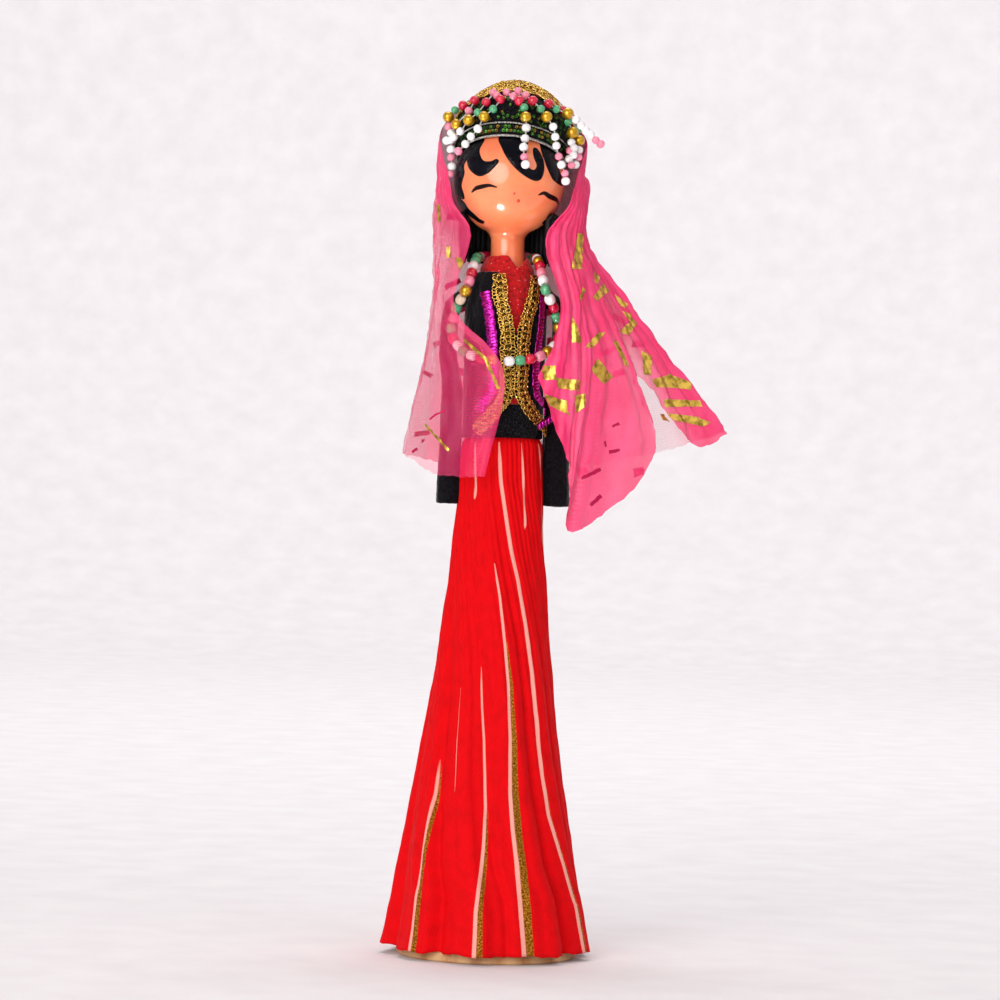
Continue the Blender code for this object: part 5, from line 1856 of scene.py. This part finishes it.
# Columns of the veil's control net, from the left front edge round the back. Each gives its angle
# round the cap from the front (left is negative), then (x, y, z) points at the cheek, neck, shoulder,
# elbow and hem, as shares of the head's radius from its centre.
VEIL_STATIONS = (
    (-79, (-1.02, -0.62, -0.42), (-0.66, -0.84, -1.05), (-0.90, -1.20, -2.35),
     (0.00, -1.22, -3.50), (-0.28, -1.14, -5.36)),
    (-88, (-1.22, -0.40, -0.36), (-1.14, -0.72, -1.00), (-1.24, -0.94, -2.30),
     (-1.06, -1.06, -3.60), (-1.10, -0.98, -5.34)),
    (-102, (-1.32, 0.10, -0.30), (-1.32, 0.00, -1.05), (-1.28, 0.10, -2.30),
     (-1.48, 0.00, -3.60), (-1.72, -0.06, -4.98)),
    (-138, (-1.02, 0.98, -0.40), (-0.98, 0.94, -1.10), (-1.02, 0.94, -2.30),
     (-1.18, 0.96, -3.60), (-1.38, 0.96, -5.05)),
    (-168, (-0.34, 1.42, -0.40), (-0.32, 1.34, -1.15), (-0.34, 1.24, -2.30),
     (-0.40, 1.26, -3.60), (-0.44, 1.30, -5.20)),
    (168, (0.34, 1.42, -0.40), (0.32, 1.34, -1.15), (0.36, 1.26, -2.30),
     (0.42, 1.30, -3.60), (0.50, 1.32, -5.25)),
    (138, (1.00, 1.02, -0.36), (0.98, 1.02, -1.10), (1.06, 1.00, -2.25),
     (1.28, 1.04, -3.55), (1.50, 1.10, -5.10)),
    (118, (1.26, 0.62, -0.20), (1.22, 0.62, -1.05), (1.62, 0.60, -2.15),
     (2.25, 0.62, -3.35), (2.70, 0.66, -4.82)),
    (106, (1.42, 0.24, 0.00), (1.39, 0.16, -1.00), (2.12, 0.16, -1.98),
     (3.18, 0.12, -3.35), (4.05, 0.10, -4.40)),
    (100, (1.40, 0.04, -0.10), (1.37, -0.06, -1.05), (1.96, -0.06, -2.10),
     (2.74, -0.16, -3.35), (3.36, -0.22, -4.64)),
    (95, (1.36, -0.10, -0.20), (1.33, -0.18, -1.10), (1.82, -0.24, -2.05),
     (2.12, -0.34, -2.80), (2.30, -0.42, -3.38)),
    (90, (1.31, -0.22, -0.25), (1.28, -0.32, -1.10), (1.66, -0.42, -2.15),
     (2.24, -0.48, -3.50), (2.68, -0.52, -4.94)),
    (85, (1.25, -0.34, -0.30), (1.16, -0.50, -1.10), (1.40, -0.68, -2.20),
     (1.62, -0.78, -3.60), (1.30, -0.86, -6.30)),
    (81, (1.18, -0.46, -0.36), (0.96, -0.66, -1.10), (1.24, -0.88, -2.20),
     (1.26, -0.96, -3.40), (1.16, -0.98, -5.05)),
    (77, (1.06, -0.58, -0.42), (0.66, -0.80, -1.10), (0.95, -1.06, -2.15),
     (0.90, -1.16, -2.90), (0.60, -1.16, -3.56)),
)


@dataclass(frozen=True)
class Veil:
    """Sheer veil over the back of the cap, with one corner spread out to the right."""

    wood: Wood
    cap: Cap
    gap: float = 0.0009
    columns: int = 300
    rows: int = 170
    folds: int = 8
    fold_depth: float = 0.0014
    pleats: tuple[float, float] = (0.00055, 0.0002)
    crumples: tuple[float, float] = (0.0008, 0.00035)
    ragged: float = 0.0008
    cheek_room: float = 0.0032
    foil_lift: float = 0.00012
    stamp_step_mm: float = 0.45
    stamp_wear_mm: float = 0.28
    stamp_reach: float = 0.0022

    def lift(self) -> float:
        """Distance of the veil from the cap, over the crown braid."""
        return GAP + self.cap.crown_thickness + self.gap

    def control_net(self) -> np.ndarray:
        """Control points: one column for each station, from the crown down to the hem."""
        centre = Vector((0.0, 0.0, self.wood.head_z))
        net = []
        for turn, *points in VEIL_STATIONS:
            behind = math.radians(180 - abs(turn))
            column = []
            for height, narrow in ((0.99, 0.80), (0.93, 0.84), (0.72, 0.90), (0.42, 0.97), (0.12, 1.0)):
                angle = math.copysign(math.pi - behind * narrow, turn)
                column.append(tuple(self.cap.surface(angle, self.cap.height * height, self.lift())))
            net.append(column + [tuple(centre + Vector(p) * self.wood.head_radius) for p in points])
        return np.array(net)

    def over_cap(self, points: np.ndarray) -> np.ndarray:
        """Push points out from the cap's middle until they lie over the cap.

        Args:
            points: Points, one row each.

        Returns:
            The moved points.
        """
        place = np.array(self.cap.frame())
        local = (points - place[:3, 3]) @ place[:3, :3]
        middle, lift = self.cap.height * 0.3, self.lift()
        outline = []
        for height in np.linspace(0, self.cap.height * 0.99, 60):
            out = self.cap.slope(height)
            outline.append((self.cap.radius(height) + lift * out.x, height + lift * out.y - middle))
        outline = np.array(outline)
        far = np.linalg.norm(outline, axis=1)
        across = np.hypot(local[:, 0], local[:, 1])
        flat = np.stack([across, local[:, 2] - middle], axis=1)
        reach = np.linalg.norm(flat, axis=1)
        nearest = ((flat / reach[:, None]) @ (outline / far[:, None]).T).argmax(axis=1)
        scale = np.where(local[:, 2] >= 0, np.maximum(reach, far[nearest]) / reach, 1.0)
        moved = flat * scale[:, None]
        local[:, :2] *= (moved[:, 0] / np.maximum(across, 1e-9))[:, None]
        local[:, 2] = moved[:, 1] + middle
        return local @ place[:3, :3].T + place[:3, 3]

    def net(self) -> np.ndarray:
        """Fine grid of the draped cloth, with its folds and crumples."""
        control = self.control_net()
        u, v = np.linspace(0, 1, self.columns), np.linspace(0, 1, self.rows)
        across = spline_weights(control.shape[0], u)
        down = spline_weights(control.shape[1], v)
        net = np.einsum("ui,vj,ijk->vuk", across, down, control)
        level = net * np.array([1.0, 1.0, 0.0])
        level /= np.linalg.norm(level, axis=-1)[..., None]
        share, low = np.meshgrid(u, v)
        edge = np.sin(np.pi * share) ** 0.5
        hang = np.maximum(0.0, low - 0.45) * edge
        depth = self.fold_depth * hang * (1.0 + np.sin(2 * np.pi * self.folds * share))
        fine = np.sin(2 * np.pi * (27 * share + 0.6 * np.sin(7 * share + 3 * low)))
        finer = np.sin(2 * np.pi * (61 * share + 0.8 * np.sin(9 * share - 5 * low)))
        loose = np.clip((low - 0.3) * 2.5, 0, 1)
        depth = depth + (self.pleats[0] * fine + self.pleats[1] * finer) * loose
        large = self.crumples[0] * ruffle(net * np.array([1.0, 1.0, 0.6]), 0.009, 12.0)
        small = self.crumples[1] * ruffle(net, 0.0035, 4.0)
        depth = depth + (large + small) * np.clip(loose, 0.15, 1)
        beside = np.clip(np.abs(share - 0.4) / 0.15 - 1, 0, 1)
        depth = depth + self.cheek_room * beside * np.exp(-((low - 0.43) / 0.075) ** 2)
        net = net + level * depth[..., None]
        ragged = self.ragged * ruffle(net, 0.004, 21.0) * np.clip((low - 0.94) / 0.06, 0, 1)
        net[..., 2] += ragged
        return self.over_cap(net.reshape(-1, 3)).reshape(net.shape)

    def cover(self, share: np.ndarray, low: np.ndarray) -> np.ndarray:
        """How much of the light each point of the cloth holds back.

        Args:
            share: Places across the cloth, from the left front edge.
            low: Places down the cloth.

        Returns:
            Alpha before the weave is added.
        """
        left = np.interp(share, (0.0, 0.05, 0.16, 0.2, 0.3), (0.48, 0.34, 0.34, 0.5, 0.78))
        right = np.interp(share, (0.5, 0.62, 0.66, 0.72, 0.78, 0.86, 0.94, 1.0),
                          (0.0, 0.1, 0.0, -0.4, 0.02, 0.14, 0.12, 0.12))
        gathered = np.interp(low, (0.0, 0.54, 0.7, 1.0), (0.42, 0.42, 0.08, 0.0))
        clear = np.clip((low - 0.82) / 0.06, 0, 1) * np.interp(share, (0.36, 0.42, 0.52, 0.55), (0, 1, 1, 0))
        return np.clip(left + right + gathered, 0.2, 0.94) * (1 - 0.7 * clear)

    def motifs(self) -> list[Motif]:
        """Motifs over the front as in the photograph, and a scatter of like ones over the back."""
        made = [Motif(corners) for corners in FOIL_MOTIFS]
        made += [Motif(corners, inked=True) for corners in INK_MOTIFS]
        draw = random.Random(41)
        for row in range(9):
            for column in range(9):
                if draw.random() < 0.4:
                    continue
                middle = np.array([-30 + 9.5 * column + 4 * (row % 2), 168 + 10.5 * row])
                middle += [draw.uniform(-2, 2), draw.uniform(-2, 2)]
                turn = draw.uniform(-0.7, 0.7)
                along = draw.uniform(1.8, 3.4) * np.array([math.cos(turn), math.sin(turn)])
                aside = draw.uniform(0.7, 1.5) * np.array([-math.sin(turn), math.cos(turn)])
                corners = (middle - along - aside, middle + along - aside * 0.8, middle + along + aside,
                           middle - along * 0.8 + aside)
                made.append(Motif(tuple(map(tuple, corners)), inked=draw.random() < 0.3, behind=True))
        return made

    def stamp(self, mesher: Mesher, cloth: BVHTree, motif: Motif) -> None:
        """Stamp one motif on the cloth, straight from the front or from behind.

        Args:
            mesher: Piece that gets the print.
            cloth: The draped cloth.
            motif: The motif.
        """
        a, b, c, d = (np.array(corner) for corner in motif.corners)
        wide = int(max(np.linalg.norm(b - a), np.linalg.norm(c - d)) / self.stamp_step_mm) + 2
        high = int(max(np.linalg.norm(d - a), np.linalg.norm(c - b)) / self.stamp_step_mm) + 2
        side = 1.0 if motif.behind else -1.0
        number, points, faces = {}, [], []
        for row, t in enumerate(np.linspace(0, 1, high)):
            for column, s in enumerate(np.linspace(0, 1, wide)):
                x, z = (a * (1 - s) + b * s) * (1 - t) + (d * (1 - s) + c * s) * t
                wear = Vector((x, z, 3.0 if motif.behind else 0.0)) / 1.3
                x += self.stamp_wear_mm * noise.noise(wear)
                z += self.stamp_wear_mm * noise.noise(wear + Vector((7, 7, 7)))
                spot, normal, _, _ = cloth.ray_cast(Vector((x * MM, side * 0.09, z * MM)),
                                                    Vector((0, -side, 0)), 0.2)
                if spot is None:
                    continue
                number[row, column] = len(points)
                points.append(tuple(spot + normal * math.copysign(self.foil_lift, normal.y * side)))
        for row in range(high - 1):
            for column in range(wide - 1):
                keys = ((row, column), (row, column + 1), (row + 1, column + 1), (row + 1, column))
                if all(key in number for key in keys):
                    ring = [number[key] for key in keys]
                    depth = [points[i][1] for i in ring]
                    if max(depth) - min(depth) < self.stamp_reach:
                        faces.append(tuple(ring))
        used = sorted({i for face in faces for i in face})
        if used:
            fresh = {old: new for new, old in enumerate(used)}
            mesher.add(np.array([points[i] for i in used]),
                       [tuple(fresh[i] for i in face) for face in faces], int(motif.inked))

    def build(self) -> None:
        net = self.net()
        rows, columns = net.shape[:2]
        mesher = Mesher()
        mesher.grid(net)
        piece = mesher.piece("veil_organza", [Organza().material()])
        share, low = np.meshgrid(np.linspace(0, 1, columns), np.linspace(0, 1, rows))
        store(piece, "cover", self.cover(share, low))
        width = max(path_length(net[i]) for i in range(rows // 2, rows, 6))
        length = max(path_length(net[:, i]) for i in range(0, columns, 6))
        lay_cloth(piece, (rows, columns), width / MM, length / MM, False)
        cloth = BVHTree.FromPolygons([Vector(p) for p in net.reshape(-1, 3)], mesher.faces)
        foil = Mesher()
        for motif in self.motifs():
            self.stamp(foil, cloth, motif)
        ink = BrushEnamel("dark_pink_print_ink", "#B01448", 0.5).material()
        print_piece = foil.piece("veil_foil_print", [FoilPrint().material(), ink])
        settle(piece, Slot.ORGANZA, "veil")
        settle(print_piece, Slot.ORGANZA)


@dataclass(frozen=True)
class Lamp:
    """Soft round lamp: its place, the point it faces, its diameter, its power and its beam."""

    name: str
    place: tuple[float, float, float]
    aim: tuple[float, float, float]
    size: float
    watts: float
    tint: str = "#FFFFFF"
    spread_degrees: float = 180.0

    def build(self) -> None:
        """Hang the lamp."""
        data = bpy.data.lights.new(self.name, "AREA")
        data.shape = "DISK"
        data.size, data.energy = self.size, self.watts
        data.color = linear(self.tint)[:3]
        data.spread = math.radians(self.spread_degrees)
        lamp = bpy.data.objects.new(self.name, data)
        lamp.location = self.place
        lamp.rotation_euler = (Vector(self.aim) - Vector(self.place)).to_track_quat("-Z", "Y").to_euler()
        lamp.visible_camera = False
        bpy.context.scene.collection.objects.link(lamp)


@dataclass(frozen=True)
class Studio:
    """Pale round cove, the camera and the lamps.

    The key stands low at the front left, the fill wide from above, and the last lamp puts the glint
    on the lacquered cheek.
    """

    camera_distance: float = 1.286
    camera_height: float = 0.1556
    lens: float = 135.04
    roll: float = math.radians(1.72)
    cove_radius: float = 2.2
    cove_curve: float = 0.7
    cove_height: float = 2.6
    sky: float = 0.42
    lamps: tuple[Lamp, ...] = (
        Lamp("key", (-0.55, -1.2, 0.5), (0.0, 0.0, 0.16), 1.1, 6.2, "#FFFBF7", 120.0),
        Lamp("fill", (0.9, -1.0, 1.1), (0.0, 0.0, 0.15), 1.2, 3.0),
        Lamp("wall", (0.0, 0.7, 2.3), (0.0, 2.8, 0.5), 1.6, 36.0, "#FFFDFE"),
        Lamp("cheek_glint", (-0.068, -0.124, 0.0386), (-0.0029, -0.0157, 0.2546), 0.075, 0.0075,
             spread_degrees=11.0))

    def build_cove(self) -> None:
        """Floor that curves up into a round wall."""
        profile = [(r, -0.0001) for r in np.linspace(0.0005, self.cove_radius, 12)]
        for i in range(1, 13):
            angle = math.pi / 2 * i / 12
            profile.append((self.cove_radius + self.cove_curve * math.sin(angle),
                            self.cove_curve * (1 - math.cos(angle))))
        profile.append((self.cove_radius + self.cove_curve, self.cove_height))
        mesher = Mesher()
        mesher.grid(lathe(profile, 96) * np.array([1.0, -1.0, 1.0]), wrap=True)
        mesher.piece("studio_cove", [StudioPaper().material()])

    def build_lights(self) -> None:
        """Hang the lamps under a pale sky."""
        for lamp in self.lamps:
            lamp.build()
        world = bpy.data.worlds.new("studio_sky")
        world.use_nodes = True
        sky = world.node_tree.nodes["Background"]
        sky.inputs["Color"].default_value = linear("#FFFFFF")
        sky.inputs["Strength"].default_value = self.sky
        bpy.context.scene.world = world

    def build_camera(self) -> None:
        """Camera level with the doll's middle, rolled a little as in the photograph."""
        data = bpy.data.cameras.new("camera")
        data.sensor_width, data.lens = 36.0, self.lens
        data.clip_start = 0.01
        camera = bpy.data.objects.new("camera", data)
        turn = Matrix.Rotation(math.pi / 2, 4, "X") @ Matrix.Rotation(self.roll, 4, "Z")
        camera.matrix_world = Matrix.Translation((0.0, -self.camera_distance, self.camera_height)) @ turn
        bpy.context.scene.collection.objects.link(camera)
        bpy.context.scene.camera = camera

    def build(self) -> None:
        """Set up the studio."""
        self.build_cove()
        self.build_lights()
        self.build_camera()
        bpy.context.scene.view_settings.view_transform = "Standard"


def main() -> None:
    """Build every piece in order."""
    logging.basicConfig(level=logging.INFO, format="%(message)s", stream=sys.stdout)
    wood = Wood()
    cap = Cap(wood)
    clothes = UpperClothes(wood)
    braids = Braids(clothes)
    beads = Beadwork(wood, clothes)
    wood.build_figure()
    FacePaint(wood).build()
    Skirt(wood).build()
    clothes.build_blouse()
    clothes.build_jacket()
    clothes.build_waistband()
    braids.build()
    BackHair(wood).build()
    cap.build_cap()
    cap.build_trim()
    cap.build_sequins()
    cap.build_crown(braids)
    beads.build_fringe()
    beads.build_necklace()
    Veil(wood, cap).build()
    Studio().build()


if __name__ == "__main__":
    main()
